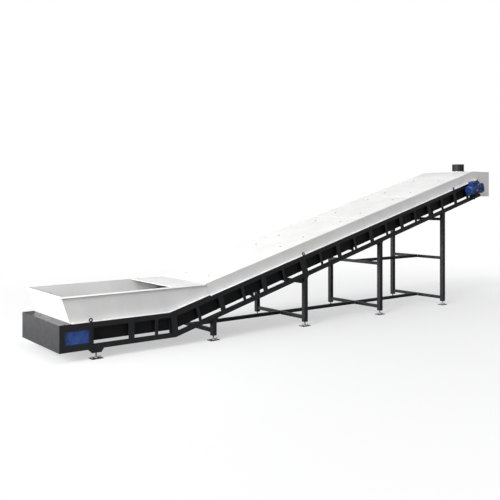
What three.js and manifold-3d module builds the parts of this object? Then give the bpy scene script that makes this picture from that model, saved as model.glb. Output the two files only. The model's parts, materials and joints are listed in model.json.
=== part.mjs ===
// Inclined belt conveyor with a feed hopper: a level infeed section under the hopper, a knee,
// a hooded incline on four trestles, and a drive station with a downward discharge at the head.
// Millimetres, +X along the belt towards the head, +Z up, Y = 0 on the belt's centre line,
// Z = 0 on the floor, X = 0 on the tail end panel, and at the end the whole conveyor is moved so
// that the near tail foot stands on the origin. "near" pieces lie at -Y, "far" ones at +Y.
import * as THREE from "three";
import { ConvexGeometry } from "three/addons/geometries/ConvexGeometry.js";
import { mergeVertices } from "three/addons/utils/BufferGeometryUtils.js";
import Module from "manifold-3d";

const wasm = await Module();
wasm.setup();

// ---------------------------------------------------------------- driving dimensions
const GAP = 0.3; // clearance between neighbouring sheets and tubes
const WELD = 2; // how far welded pieces run into each other
const NEAR = -1;
const FAR = 1;

// Side frames: "h" is measured square to the lower chord's underside, "s" along the incline.
const FRAME_BASE = 150; // underside of the level frame above the floor
const FRAME_HALF = 750; // outer face of the chords
const FRAME_HEIGHT = 400;
const CHORD_WIDTH = 60;
const LOWER_CHORD = 70;
const UPPER_CHORD = 80;
const KNEE_RISE = 18; // up to the splice the inclined upper chord is this much deeper
const CHORD_WALL = 4;
const INCLINE = THREE.MathUtils.degToRad(15.2);
const KNEE_X = 1947; // where the two undersides meet
const SPLICE_S = 795;
const INCLINE_LENGTH = 8600;
const CHORD_INNER = FRAME_HALF - CHORD_WIDTH;

// Posts
const WIDE_POST = 100;
const NARROW_POST = 56;
const POST_PLATE = 8;
const POST_PROUD = 6;
const POST_FIRST_S = 984;
const POST_PITCH = 951;
const WIDE_POSTS = 8;

// Belt loop
const BELT_HALF = 600;
const BELT_THICKNESS = 8;
const DRUM_RADIUS = 105;
const DRUM_PLAY = 0.6;
const DRUM_H = 235;
const TAIL_X = 270;
const HEAD_S = 8460;
const CARRY_H = DRUM_H + DRUM_RADIUS + BELT_THICKNESS;
const RETURN_H = DRUM_H - DRUM_RADIUS - BELT_THICKNESS;
const KNEE_ROLLER = 50;
const HOLD_DOWN = 30;
const RETURN_ROLLER = 30;
const RETURN_ROLLER_S = [1700, 4300, 6900];
const TAKEUP_TRAVEL = 50;

// Sheets inside the frame
const SHEET_OUTER = CHORD_INNER - 3;
const SHEET = 3;
const SHEET_LOW_H = 116;
const SKIRT_INNER = 540;
const SKIRT_TOP_H = 470;

// Hopper and hood
const HOPPER_BASE_X = 192;
const RIM_X = 56; // top edge of the leaning front panel
const RIM_H = 799;
const RIM_STRIP = 6; // level part of the rim outside the panel
const RIM_LIP = 26; // reach of the lip that slopes down from the strip
const LIP_DROP = 20;
const MOUTH_REAR_X = 1910;
const DECK_HEM = 12;
const HOOD_HALF = 684;
const HOOD_H = 611;
// where the hood's roof leaves the level of the hopper's rim
const HOOD_START_S = (RIM_H - HOOD_H * Math.cos(INCLINE)) / Math.sin(INCLINE);
const HOOD_SECTIONS = 4;
const SEAM_FIRST_S = 3060;
const SEAM_PITCH = 1640;
const HOOD_SEAMS_S = Array.from({ length: HOOD_SECTIONS }, (_, i) => SEAM_FIRST_S + i * SEAM_PITCH);
const HEAD_TOP_H = 2826;
const HEAD_BOTTOM_H = 2250;
const HEAD_END_X = 10688;
const COVER_SHEET = 3;
const SET_BACK = 0.8; // wall edges stop this far inside a welded sheet's outer face
const DUCT_X = 10435;
const DUCT_RADIUS = 138;

// Take-up, lifting eyes and drive
const TAKEUP_Y = 706;
const TAKEUP_ROD = 8;
const LIFTING_EYE = { radius: 31, hole: 14, above: 35, barWidth: 50 };
const TAIL_EYE_X = 480;
const EYE_BESIDE_POST = 60; // the lower eye stands this far above its post, the upper one on its post
const EYES_S = [POST_FIRST_S + 2 * POST_PITCH + EYE_BESIDE_POST, POST_FIRST_S + 7 * POST_PITCH];
const DRIVE_Y = -875;
const GEARBOX_HALF = 60;
const MOTOR_RISE = 45; // the motor's axis above the head shaft
const MOTOR_RADIUS = 100;
const MOTOR_BACK = -375; // the motor's rear end shield, along the incline from the head shaft

// Supports
const LEG = 80;
const LEG_Y = 710;
const LEG_BOTTOM = 81;
const LEG_WALL = 4;
const TIE = 60;
const TRESTLES = 4;
const TRESTLE_FIRST_X = 2697;
const TRESTLE_PITCH = 2057;
const TRESTLE_X = Array.from({ length: TRESTLES }, (_, i) => TRESTLE_FIRST_X + i * TRESTLE_PITCH);
const LOW_TIE_Z = 161;
const MID_TIE_Z = 1036;
const HIGH_TIE_Z = { 1: 816, 3: 1895 }; // cross ties high on the second and the last trestle
const TAIL_FOOT_X = 585;
const TAIL_FOOT_DROP = 58;
const FOOT_STUD = 10;
const FOOT_HALF_X = 90; // half the base plate's length
const FOOT_HALF_Y = 65;

// ---------------------------------------------------------------- materials
const paint = (color, roughness) => new THREE.MeshStandardMaterial({ color, roughness, metalness: 0.1 });
const charcoal = paint(0x26272b, 0.5);
const darkSheet = paint(0x1b1c1f, 0.6);
const white = paint(0xe8e9ea, 0.45);
const blue = paint(0x2f4f98, 0.4);
const rubber = paint(0x18181a, 0.9);
const zinc = new THREE.MeshStandardMaterial({ color: 0x9a9c9f, roughness: 0.4, metalness: 0.8 });
const steel = new THREE.MeshStandardMaterial({ color: 0x77797d, roughness: 0.35, metalness: 0.9 });
const iron = paint(0x3a3c40, 0.6);

// ---------------------------------------------------------------- places
const flat = (x, h) => [x, FRAME_BASE + h];
const up = (s, h) => [
  KNEE_X + s * Math.cos(INCLINE) - h * Math.sin(INCLINE),
  FRAME_BASE + s * Math.sin(INCLINE) + h * Math.cos(INCLINE),
];
// Where the level line at height h meets the inclined line at height hUp.
const knee = (h, hUp = h) => up((h - hUp * Math.cos(INCLINE)) / Math.sin(INCLINE), hUp);
// The point of the inclined line at height h that has the given X.
function inclineAt(x, h) {
  const s = (x - KNEE_X + h * Math.sin(INCLINE)) / Math.cos(INCLINE);
  return up(s, h);
}

// ---------------------------------------------------------------- shapes
function box(x0, x1, y0, y1, z0, z1) {
  const shape = new THREE.BoxGeometry(x1 - x0, y1 - y0, z1 - z0);
  return shape.translate((x0 + x1) / 2, (y0 + y1) / 2, (z0 + z1) / 2);
}

// Quarter turns that lay an extruded outline in the X-Z or the Y-Z plane without rounding.
const DEPTH_TO_Y = new THREE.Matrix4().set(1, 0, 0, 0, 0, 0, -1, 0, 0, 1, 0, 0, 0, 0, 0, 1);
const DEPTH_TO_X = new THREE.Matrix4().set(0, 0, 1, 0, 1, 0, 0, 0, 0, 1, 0, 0, 0, 0, 0, 1);

// An outline in the X-Z plane, carried across from y0 to y1.
function across(points, y0, y1, hole) {
  const shape = new THREE.Shape(points.map(([x, z]) => new THREE.Vector2(x, z)));
  if (hole) shape.holes.push(new THREE.Path(hole.map(([x, z]) => new THREE.Vector2(x, z))));
  const extruded = new THREE.ExtrudeGeometry(shape, { depth: y1 - y0, bevelEnabled: false });
  return extruded.applyMatrix4(DEPTH_TO_Y).translate(0, y1, 0);
}

// An outline in the Y-Z plane, carried along from x0 to x1.
function along(points, x0, x1) {
  const shape = new THREE.Shape(points.map(([y, z]) => new THREE.Vector2(y, z)));
  const extruded = new THREE.ExtrudeGeometry(shape, { depth: x1 - x0, bevelEnabled: false });
  return extruded.applyMatrix4(DEPTH_TO_X).translate(x0, 0, 0);
}

// The same outline on one side of the belt: inner and outer are distances from the centre line.
function sided(side, points, inner, outer, hole) {
  return side < 0 ? across(points, -outer, -inner, hole) : across(points, inner, outer, hole);
}

function cylinderY(x, z, radius, y0, y1, segments = 32) {
  return new THREE.CylinderGeometry(radius, radius, y1 - y0, segments).translate(x, (y0 + y1) / 2, z);
}

function cylinderX(y, z, radius, x0, x1, segments = 32) {
  const rod = new THREE.CylinderGeometry(radius, radius, x1 - x0, segments).rotateZ(Math.PI / 2);
  return rod.translate((x0 + x1) / 2, y, z);
}

function cylinderZ(x, y, radius, z0, z1, segments = 24) {
  const rod = new THREE.CylinderGeometry(radius, radius, z1 - z0, segments).rotateX(Math.PI / 2);
  return rod.translate(x, y, (z0 + z1) / 2);
}

function sidedRod(side, x, z, radius, inner, outer, segments) {
  return side < 0
    ? cylinderY(x, z, radius, -outer, -inner, segments)
    : cylinderY(x, z, radius, inner, outer, segments);
}

function arc([x, z], radius, from, to, steps) {
  return Array.from({ length: steps + 1 }, (_, i) => {
    const angle = from + ((to - from) * i) / steps;
    return [x + radius * Math.cos(angle), z + radius * Math.sin(angle)];
  });
}

// A band that follows the frame from level x0 to incline s1, between two heights.
function bentBand(x0, s1, low, high, lowUp = low, highUp = high) {
  const under = [flat(x0, low), knee(low, lowUp), up(s1, lowUp)];
  return [...under, up(s1, highUp), knee(high, highUp), flat(x0, high)];
}

function inclineBand(s0, s1, low, high) {
  return [up(s0, low), up(s1, low), up(s1, high), up(s0, high)];
}

function levelBand(x0, x1, low, high) {
  return [flat(x0, low), flat(x1, low), flat(x1, high), flat(x0, high)];
}

// ---------------------------------------------------------------- solids
function solid(geometry) {
  const bare = geometry.clone();
  bare.deleteAttribute("normal");
  bare.deleteAttribute("uv");
  const merged = mergeVertices(bare, 1e-4);
  const vertProperties = Float32Array.from(merged.attributes.position.array);
  const triVerts = Uint32Array.from(merged.index.array);
  return new wasm.Manifold(new wasm.Mesh({ numProp: 3, vertProperties, triVerts }));
}

const join = (shapes) => shapes.map(solid).reduce((all, one) => all.add(one));

function weld(shapes, cuts = []) {
  return cuts.map(solid).reduce((rest, cut) => rest.subtract(cut), join(shapes));
}

function mesh(name, material, made) {
  const { vertProperties, triVerts } = made.getMesh();
  const geometry = new THREE.BufferGeometry();
  geometry.setAttribute("position", new THREE.BufferAttribute(vertProperties, 3));
  geometry.setIndex(new THREE.BufferAttribute(triVerts, 1));
  geometry.computeVertexNormals();
  const result = new THREE.Mesh(geometry, material);
  result.name = name;
  return result;
}

const sideName = (side) => (side === NEAR ? "near" : "far");

// ---------------------------------------------------------------- side frames
// An angle post: a web outside and a flange that reaches inwards from one of its edges. "band"
// is levelBand or inclineBand, and a proud post covers the chords while a flush one joins them.
function post(side, band, at, width, proud) {
  const [start, end] = [at - width / 2, at + width / 2];
  const [low, high] = [LOWER_CHORD, FRAME_HEIGHT - UPPER_CHORD];
  const inset = 8;
  const [webLow, webHigh] = proud ? [inset, FRAME_HEIGHT - inset] : [low - WELD, high + WELD];
  const outer = FRAME_HALF + (proud ? POST_PROUD : 0);
  const inner = outer - POST_PLATE;
  return [
    sided(side, band(start, end, webLow, webHigh), inner, outer),
    sided(side, band(end - 7, end - 1, low - WELD / 2, high + WELD / 2), CHORD_INNER, inner + 1),
  ];
}

// The post at the bend: a plate that follows the mitre, with a bearing plate for the knee roller.
function kneePost(side) {
  const half = WIDE_POST / 2;
  const [lowX, lowZ] = knee(8);
  const [highX, highZ] = knee(FRAME_HEIGHT - 8);
  const outline = [
    [lowX - half, lowZ],
    [lowX + half, lowZ + half * Math.sin(INCLINE)],
    [highX + half, highZ],
    [highX - half, highZ],
  ];
  const [bearX, bearZ] = knee(DRUM_H);
  const bearing = [
    [bearX - 60, bearZ - 172],
    [bearX + 60, bearZ - 165],
    [bearX + 40, bearZ + 96],
    [bearX - 75, bearZ + 90],
  ];
  return [
    sided(side, outline, FRAME_HALF - WELD, FRAME_HALF + POST_PROUD),
    sided(side, bearing, CHORD_INNER, CHORD_INNER + 8),
  ];
}

// A lifting eye stands over the upper chord on a bar; "place" turns (offset, h) into X-Z.
function liftingEye(side, place) {
  const { radius, above, barWidth } = LIFTING_EYE;
  const [x, z] = place(0, FRAME_HEIGHT + above);
  const strip = (reach, low, high) => [
    place(-reach, low),
    place(reach, low),
    place(reach, high),
    place(-reach, high),
  ];
  const bar = strip(barWidth / 2, 12, FRAME_HEIGHT - 1);
  const neck = strip(18, FRAME_HEIGHT - 20, FRAME_HEIGHT + above);
  const [inner, outer] = [FRAME_HALF - WELD, FRAME_HALF + 12];
  return {
    shapes: [
      sided(side, bar, inner, outer),
      sided(side, neck, FRAME_HALF + GAP, outer),
      sidedRod(side, x, z, radius, FRAME_HALF + GAP, outer, 20),
    ],
    cuts: [sidedRod(side, x, z, LIFTING_EYE.hole, FRAME_HALF - 20, outer + 10, 12)],
  };
}

// The bracket under the tail corner that the first levelling foot screws into.
function tailFootBracket(side) {
  const outline = [
    flat(430, 6),
    flat(510, -TAIL_FOOT_DROP),
    flat(655, -TAIL_FOOT_DROP),
    flat(700, 6),
  ];
  const base = levelBand(510, 655, -TAIL_FOOT_DROP, -TAIL_FOOT_DROP + 12);
  const rib = (x0, x1) => levelBand(x0, x1, -TAIL_FOOT_DROP + 5, 4);
  return [
    sided(side, outline, FRAME_HALF - 8, FRAME_HALF - GAP),
    sided(side, base, CHORD_INNER, FRAME_HALF - 4),
    sided(side, rib(522, 530), CHORD_INNER, FRAME_HALF - 4),
    sided(side, rib(638, 646), CHORD_INNER, FRAME_HALF - 4),
  ];
}

// Level chords, knee and the first stretch of incline, up to the bolted splice.
function infeedSideFrame(side) {
  const start = 5;
  const top = FRAME_HEIGHT;
  const low = top - UPPER_CHORD;
  const inner = CHORD_INNER;
  const outer = FRAME_HALF;
  const eye = liftingEye(side, (offset, h) => flat(TAIL_EYE_X + offset, h));
  const [kneeX, kneeZ] = knee(RETURN_H + BELT_THICKNESS + KNEE_ROLLER);
  const fishplate = (h0, h1) => [
    sided(side, inclineBand(SPLICE_S - 110, SPLICE_S + 110, h0, h1), outer + GAP, outer + 6),
    sided(side, inclineBand(SPLICE_S - 110, SPLICE_S - 10, h0, h1), outer - WELD, outer + 3),
  ];
  const shapes = [
    sided(side, bentBand(start, SPLICE_S, 0, LOWER_CHORD), inner, outer),
    sided(side, bentBand(start, SPLICE_S, low, top, low, top + KNEE_RISE), inner, outer),
    sided(side, levelBand(start, 85, 2, top - 2), inner, outer),
    sided(side, levelBand(80, 480, LOWER_CHORD - WELD, 100), outer - 20, outer),
    sided(side, levelBand(80, 480, 300, low + WELD), outer - 20, outer),
    sided(side, levelBand(470, 530, LOWER_CHORD - WELD, low + WELD), inner, outer),
    sided(side, levelBand(80, 474, DRUM_H + 60 + GAP, low + WELD), inner, inner + 28),
    sided(side, levelBand(80, 474, LOWER_CHORD - WELD, DRUM_H - 60 - GAP), inner, inner + 28),
    ...post(side, levelBand, 1150, WIDE_POST, true),
    ...post(side, levelBand, 1590, NARROW_POST, false),
    ...kneePost(side),
    ...post(side, inclineBand, POST_FIRST_S - POST_PITCH / 2, NARROW_POST, false),
    ...fishplate(10, LOWER_CHORD - 10),
    ...fishplate(low + 10, top - 10),
    ...eye.shapes,
    ...tailFootBracket(side),
  ];
  const bore = [inner + CHORD_WALL, outer - CHORD_WALL];
  const far = SPLICE_S + 10;
  const wall = CHORD_WALL;
  const cuts = [
    sided(side, bentBand(-10, far, wall, LOWER_CHORD - wall), ...bore),
    sided(side, bentBand(-10, far, low + wall, top - wall, low + wall, top + KNEE_RISE - wall), ...bore),
    cylinderX(side * TAKEUP_Y, FRAME_BASE + DRUM_H, TAKEUP_ROD + 1, -10, 95, 12),
    sidedRod(side, kneeX, kneeZ, 15.8, inner - 5, inner + 12, 24),
    cylinderZ(TAIL_FOOT_X, side * LEG_Y, FOOT_STUD + 0.9, FRAME_BASE - 70, FRAME_BASE - 40, 12),
    ...eye.cuts,
  ];
  return mesh("infeed_side_frame_" + sideName(side), charcoal, weld(shapes, cuts));
}

// A pedestal on the lower chord that carries one end of a return roller.
function rollerBracket(side, s) {
  const h = RETURN_H - RETURN_ROLLER - GAP;
  const [x, z] = up(s, h);
  return {
    shapes: [
      sided(side, inclineBand(s - 30, s + 30, 36, h + 20), CHORD_INNER - 40, CHORD_INNER - 32),
      sided(side, inclineBand(s - 28, s + 28, 38, 56), CHORD_INNER - 39, CHORD_INNER + WELD),
    ],
    cut: sidedRod(side, x, z, 10.6, CHORD_INNER - 50, CHORD_INNER - 20, 12),
  };
}

// Chords, posts and head bearing plate from the splice to the head.
function inclineSideFrame(side) {
  const start = SPLICE_S + GAP;
  const low = FRAME_HEIGHT - UPPER_CHORD;
  const inner = CHORD_INNER;
  const outer = FRAME_HALF;
  const [headX, headZ] = up(HEAD_S, DRUM_H);
  const wide = Array.from({ length: WIDE_POSTS }, (_, k) => POST_FIRST_S + k * POST_PITCH);
  const narrow = [...wide.map((s) => s + POST_PITCH / 2), 8245];
  const eyes = EYES_S.map((s) => liftingEye(side, (offset, h) => up(s + offset, h)));
  const brackets = RETURN_ROLLER_S.map((s) => rollerBracket(side, s));
  const bearingPlate = inclineBand(8330, INCLINE_LENGTH - 2, LOWER_CHORD - WELD, low + WELD);
  const shapes = [
    sided(side, inclineBand(start, INCLINE_LENGTH, 0, LOWER_CHORD), inner, outer),
    sided(side, inclineBand(start, INCLINE_LENGTH, low, FRAME_HEIGHT), inner, outer),
    ...wide.flatMap((s) => post(side, inclineBand, s, WIDE_POST, true)),
    ...narrow.flatMap((s) => post(side, inclineBand, s, NARROW_POST, false)),
    sided(side, bearingPlate, inner + 10, inner + 22),
    ...eyes.flatMap((eye) => eye.shapes),
    ...brackets.flatMap((bracket) => bracket.shapes),
  ];
  const bore = [inner + CHORD_WALL, outer - CHORD_WALL];
  const wall = CHORD_WALL;
  const cuts = [
    sided(side, inclineBand(start - 10, INCLINE_LENGTH + 10, wall, LOWER_CHORD - wall), ...bore),
    sided(side, inclineBand(start - 10, INCLINE_LENGTH + 10, low + wall, FRAME_HEIGHT - wall), ...bore),
    sidedRod(side, headX, headZ, 45, inner, inner + 40, 32),
    ...eyes.flatMap((eye) => eye.cuts),
    ...brackets.map((bracket) => bracket.cut),
  ];
  return mesh("incline_side_frame_" + sideName(side), charcoal, weld(shapes, cuts));
}

// The thin sheet that closes the frame's side round the belt loop.
function sideSheet(side) {
  const [headX, headZ] = up(HEAD_S, DRUM_H);
  const [kneeX, kneeZ] = knee(RETURN_H + BELT_THICKNESS + KNEE_ROLLER);
  const [wheelX, wheelZ] = knee(CARRY_H + HOLD_DOWN);
  const y = [SHEET_OUTER - SHEET, SHEET_OUTER];
  const through = [SHEET_OUTER - 20, SHEET_OUTER + 20];
  const sheet = sided(side, bentBand(20, INCLINE_LENGTH - 10, SHEET_LOW_H, FRAME_HEIGHT - 2), ...y);
  const slot = levelBand(TAIL_X - 30, TAIL_X + TAKEUP_TRAVEL + 30, DRUM_H - 30, DRUM_H + 30);
  return mesh("side_sheet_" + sideName(side), darkSheet, weld([sheet], [
    sided(side, slot, ...through),
    sidedRod(side, headX, headZ, 45, ...through, 20),
    sidedRod(side, kneeX, kneeZ, 18, ...through, 12),
    sidedRod(side, wheelX, wheelZ, 9, ...through, 12),
  ]));
}

// Folded cover that closes the tail: an upright panel and a short top plate.
function tailEndCover() {
  const top = FRAME_HEIGHT + 4;
  return mesh("tail_end_cover", charcoal, weld([
    across(levelBand(0, 4, 0, top - 1), -FRAME_HALF, FRAME_HALF),
    across(levelBand(1, HOPPER_BASE_X - 2, FRAME_HEIGHT + GAP, top), 1 - FRAME_HALF, FRAME_HALF - 1),
    across(levelBand(2, 30, 1, 4), -CHORD_INNER + 2, CHORD_INNER - 2),
  ]));
}

// ---------------------------------------------------------------- belt line
function beltLoop() {
  const outer = DRUM_RADIUS + BELT_THICKNESS;
  const tail = flat(TAIL_X, DRUM_H);
  const head = up(HEAD_S, DRUM_H);
  const roller = knee(RETURN_H + BELT_THICKNESS + KNEE_ROLLER);
  const wheel = knee(CARRY_H + HOLD_DOWN);
  const quarter = Math.PI / 2;
  const loop = (drum, under, over) => [
    ...arc(tail, drum, quarter, 3 * quarter, 20),
    ...arc(roller, under, -quarter, -quarter + INCLINE, 4),
    ...arc(head, drum, -quarter + INCLINE, quarter + INCLINE, 20),
    ...arc(wheel, over, -quarter + INCLINE, -quarter, 4),
  ];
  const outside = loop(outer, KNEE_ROLLER + BELT_THICKNESS, HOLD_DOWN);
  const inside = loop(DRUM_RADIUS, KNEE_ROLLER, HOLD_DOWN + BELT_THICKNESS);
  return mesh("conveyor_belt", rubber, solid(across(outside, -BELT_HALF, BELT_HALF, inside)));
}

// A hollow drum or roller about the Y axis: shell, two end discs with holes, through shaft.
function turningTube({ radius, wall, half, disc, shaft, near, far, sides, shaftSides, vent }) {
  const bore = radius - wall;
  const outside = cylinderY(0, 0, radius, -half, half, sides);
  const shell = weld([outside], [cylinderY(0, 0, bore, -half - 1, half + 1, sides)]);
  const endFace = half - 12;
  const discs = [cylinderY(0, 0, bore + 1, endFace - disc, endFace, sides)];
  discs.push(cylinderY(0, 0, bore + 1, -endFace, disc - endFace, sides));
  const filled = shell.add(join([...discs, cylinderY(0, 0, shaft, -near, far, shaftSides)]));
  return filled.subtract(solid(cylinderY(0, vent.at, vent.radius, -half - 5, half + 5, 8)));
}

function drum(name, [x, z], near, far) {
  const made = turningTube({
    radius: DRUM_RADIUS - DRUM_PLAY,
    wall: 9,
    half: 620,
    disc: 12,
    shaft: 25,
    near,
    far,
    sides: 28,
    shaftSides: 16,
    vent: { at: 60, radius: 18 },
  });
  const result = mesh(name, steel, made);
  result.position.set(x, 0, z);
  return result;
}

function roller(name, [x, z], radius, shaft, half, reach, finish) {
  const made = turningTube({
    radius,
    wall: 4,
    half,
    disc: 8,
    shaft,
    near: reach,
    far: reach,
    sides: 18,
    shaftSides: 10,
    vent: { at: (radius + shaft) / 2 - 1, radius: 3 },
  });
  const result = mesh(name, finish, made);
  result.position.set(x, 0, z);
  return result;
}

// A wheel that holds one belt edge down where the belt bends upwards.
function holdDownWheel(side) {
  const [x, z] = knee(CARRY_H + HOLD_DOWN);
  const made = weld([
    sidedRod(side, 0, 0, HOLD_DOWN - DRUM_PLAY, 554, 592, 24),
    sidedRod(side, 0, 0, 8, 580, CHORD_INNER - 1, 12),
  ]);
  const result = mesh("hold_down_wheel_" + sideName(side), rubber, made);
  result.position.set(x, 0, z);
  return result;
}

// Flat bed under the carrying run: a sheet on cross bars between the side frames.
function sliderBed(name, band, bars) {
  const top = CARRY_H - BELT_THICKNESS - GAP;
  const reach = SHEET_OUTER - SHEET - GAP;
  const sheet = across(band(4, top), -617, 617);
  return mesh(name, zinc, weld([sheet, ...bars.map((bar) => across(bar, -reach, reach))]));
}

function sliderBeds() {
  const top = CARRY_H - BELT_THICKNESS - GAP;
  const levelStart = 440;
  const [kneeX] = knee(top);
  const level = (depth, h) => levelBand(levelStart, kneeX - 4, h - depth, h);
  const slope = (depth, h) => inclineBand(60, HEAD_S - 130, h - depth, h);
  const levelBars = [520, 1150, 1800].map((x) => levelBand(x - 20, x + 20, top - 38, top - 2));
  const slopeBars = Array.from({ length: WIDE_POSTS }, (_, k) => POST_FIRST_S + k * POST_PITCH);
  return [
    sliderBed("slider_bed_infeed", level, levelBars),
    sliderBed("slider_bed_incline", slope, [100, ...slopeBars, HEAD_S - 155].map((s) =>
      inclineBand(s - 20, s + 20, top - 38, top - 2))),
  ];
}

// Skirt board: a bent channel over the belt's edge with a rubber lip down to the belt.
function skirtBoard(side) {
  const start = 250;
  const end = HEAD_S - 80;
  const outer = HOOD_HALF - COVER_SHEET - 1;
  return mesh("skirt_board_" + sideName(side), zinc, weld([
    sided(side, bentBand(start, end, CARRY_H + 2, SKIRT_TOP_H - 1), SKIRT_INNER, SKIRT_INNER + 5),
    sided(side, bentBand(start - 1, end + 1, SKIRT_TOP_H - 5, SKIRT_TOP_H), SKIRT_INNER - 1, outer),
    sided(side, bentBand(start, end, 395, SKIRT_TOP_H - 1), outer - 5.5, outer - 0.5),
  ]));
}

// ---------------------------------------------------------------- tail take-up
function tailBearing(side) {
  const z = FRAME_BASE + DRUM_H;
  const y = [CHORD_INNER + 4, CHORD_INNER + 28];
  const made = weld([
    sided(side, levelBand(TAIL_X - 58, TAIL_X + 58, DRUM_H - 59, DRUM_H + 59), ...y),
    sidedRod(side, TAIL_X, z, 46, y[0], FRAME_HALF - 27, 24),
    cylinderX(side * TAKEUP_Y, z, TAKEUP_ROD, 20, TAIL_X - 50, 12),
  ], [sidedRod(side, TAIL_X, z, 26, y[0] - 5, FRAME_HALF, 20)]);
  return mesh("tail_bearing_" + sideName(side), iron, made);
}

// Blue cover in the window of the side frame, over the take-up bearing.
function takeupCover(side) {
  const plate = levelBand(85 + GAP, 470 - GAP, 100 + GAP, 300 - GAP);
  const [outer, depth] = [FRAME_HALF - 18, 3];
  return mesh("takeup_cover_" + sideName(side), blue, weld([
    sided(side, plate, outer - depth, outer),
    sided(side, levelBand(105, 450, 120, 280), outer - depth - 3, outer - 1),
  ]));
}

// ---------------------------------------------------------------- hopper
// Cross-sections of the folded rim as (out, down) points: a level strip, then a sloping lip.
const STRIP_SECTION = [[-4, 3], [-4, 0], [RIM_STRIP, 0], [RIM_STRIP, 3]];
const LIP_SECTION = [[3, 2.5], [5, 0.5], [RIM_LIP, LIP_DROP], [RIM_LIP - 3.5, LIP_DROP]];

// A straight bar of the rim between two ends, each of which turns (out, down) into a point.
function rimBar(section, from, to) {
  return new ConvexGeometry([from, to].flatMap((end) => section.map(([out, down]) => end(out, down))));
}

// The rim's mitred corner, with the bars that run across set back by "play" from the side bars.
function rimCorner(side, play) {
  return (out, down) => {
    const y = side * (HOOD_HALF + out - play);
    return new THREE.Vector3(RIM_X - out, y, FRAME_BASE + RIM_H - down);
  };
}

// A side panel from the tail to the knee: its foot rests on the chord, its rim is folded out.
function hopperSide(side) {
  const base = FRAME_HEIGHT + GAP;
  const raised = base + KNEE_RISE;
  const end = HOOD_START_S - 2 * GAP;
  const [rimEnd] = up(end, HOOD_H);
  const outline = [
    flat(HOPPER_BASE_X, base),
    knee(base, raised),
    up(end, raised),
    [rimEnd, FRAME_BASE + RIM_H - 1],
    flat(RIM_X, RIM_H - 1),
  ];
  const foot = bentBand(HOPPER_BASE_X + 2, end - 2, base + 1, base + 4, raised + 1, raised + 4);
  const rear = (out, down) => rimCorner(side, 0)(out, down).setX(rimEnd - 1);
  return mesh("hopper_side_" + sideName(side), white, weld([
    sided(side, outline, HOOD_HALF - COVER_SHEET, HOOD_HALF),
    sided(side, foot, HOOD_HALF - 1, FRAME_HALF - 4),
    rimBar(STRIP_SECTION, rimCorner(side, 0), rear),
    rimBar(LIP_SECTION, rimCorner(side, 0), rear),
  ]));
}

// The front panel leans towards the tail as it rises; its foot and rim are folded like the sides'.
function hopperFront() {
  const half = HOOD_HALF - COVER_SHEET - 1;
  const panel = [
    flat(HOPPER_BASE_X, FRAME_HEIGHT + GAP),
    flat(HOPPER_BASE_X + 3, FRAME_HEIGHT + GAP),
    flat(RIM_X + 3, RIM_H - 1),
    flat(RIM_X, RIM_H - 1),
  ];
  const foot = levelBand(HOPPER_BASE_X - 0.5, HOPPER_BASE_X + 30, FRAME_HEIGHT + 2, FRAME_HEIGHT + 5);
  return mesh("hopper_front", white, weld([
    across(panel, -half, half),
    rimBar(STRIP_SECTION, rimCorner(NEAR, 5), rimCorner(FAR, 5)),
    rimBar(LIP_SECTION, rimCorner(NEAR, 1), rimCorner(FAR, 1)),
    across(foot, 1 - half, half - 1),
  ]));
}

// Flat deck between the hopper mouth and the hood, with a turned-down front edge.
function hopperDeck() {
  const half = HOOD_HALF - COVER_SHEET - 1.5;
  const [rear] = up(HOOD_START_S, HOOD_H);
  const hem = levelBand(MOUTH_REAR_X + 0.5, MOUTH_REAR_X + 3.5, RIM_H - DECK_HEM, RIM_H - 1);
  return mesh("hopper_deck", white, weld([
    across(levelBand(MOUTH_REAR_X, rear - 2, RIM_H - COVER_SHEET, RIM_H), -half, half),
    across(hem, -half + 8, half - 8),
  ]));
}

// ---------------------------------------------------------------- hood
// Carries an outline of the incline's cross-section, (y, h) points, from s0 to s1.
const ALONG_INCLINE = new THREE.Matrix4().makeTranslation(KNEE_X, 0, FRAME_BASE)
  .multiply(new THREE.Matrix4().makeRotationY(-INCLINE));

function alongIncline(points, s0, s1) {
  return along(points, s0, s1).applyMatrix4(ALONG_INCLINE);
}

// One length of hood: a folded roof and sides, with feet turned out over the chords.
function hoodSection(index) {
  const foot = FRAME_HEIGHT + GAP;
  const start = index === 1 ? HOOD_START_S : HOOD_SEAMS_S[index - 2];
  const [wall, reach] = [HOOD_HALF - COVER_SHEET, FRAME_HALF - 4];
  const half = [
    [reach, foot],
    [reach, foot + COVER_SHEET],
    [HOOD_HALF, foot + COVER_SHEET],
    [HOOD_HALF, HOOD_H],
  ];
  const inside = [
    [-wall, HOOD_H - COVER_SHEET],
    [wall, HOOD_H - COVER_SHEET],
    [wall, foot],
  ];
  const mirrored = half.map(([y, h]) => [-y, h]).reverse();
  const outline = [...half, ...mirrored, [-wall, foot], ...inside];
  const shell = alongIncline(outline, start, HOOD_SEAMS_S[index - 1] - GAP);
  return mesh("hood_section_" + index, white, solid(shell));
}

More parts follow.
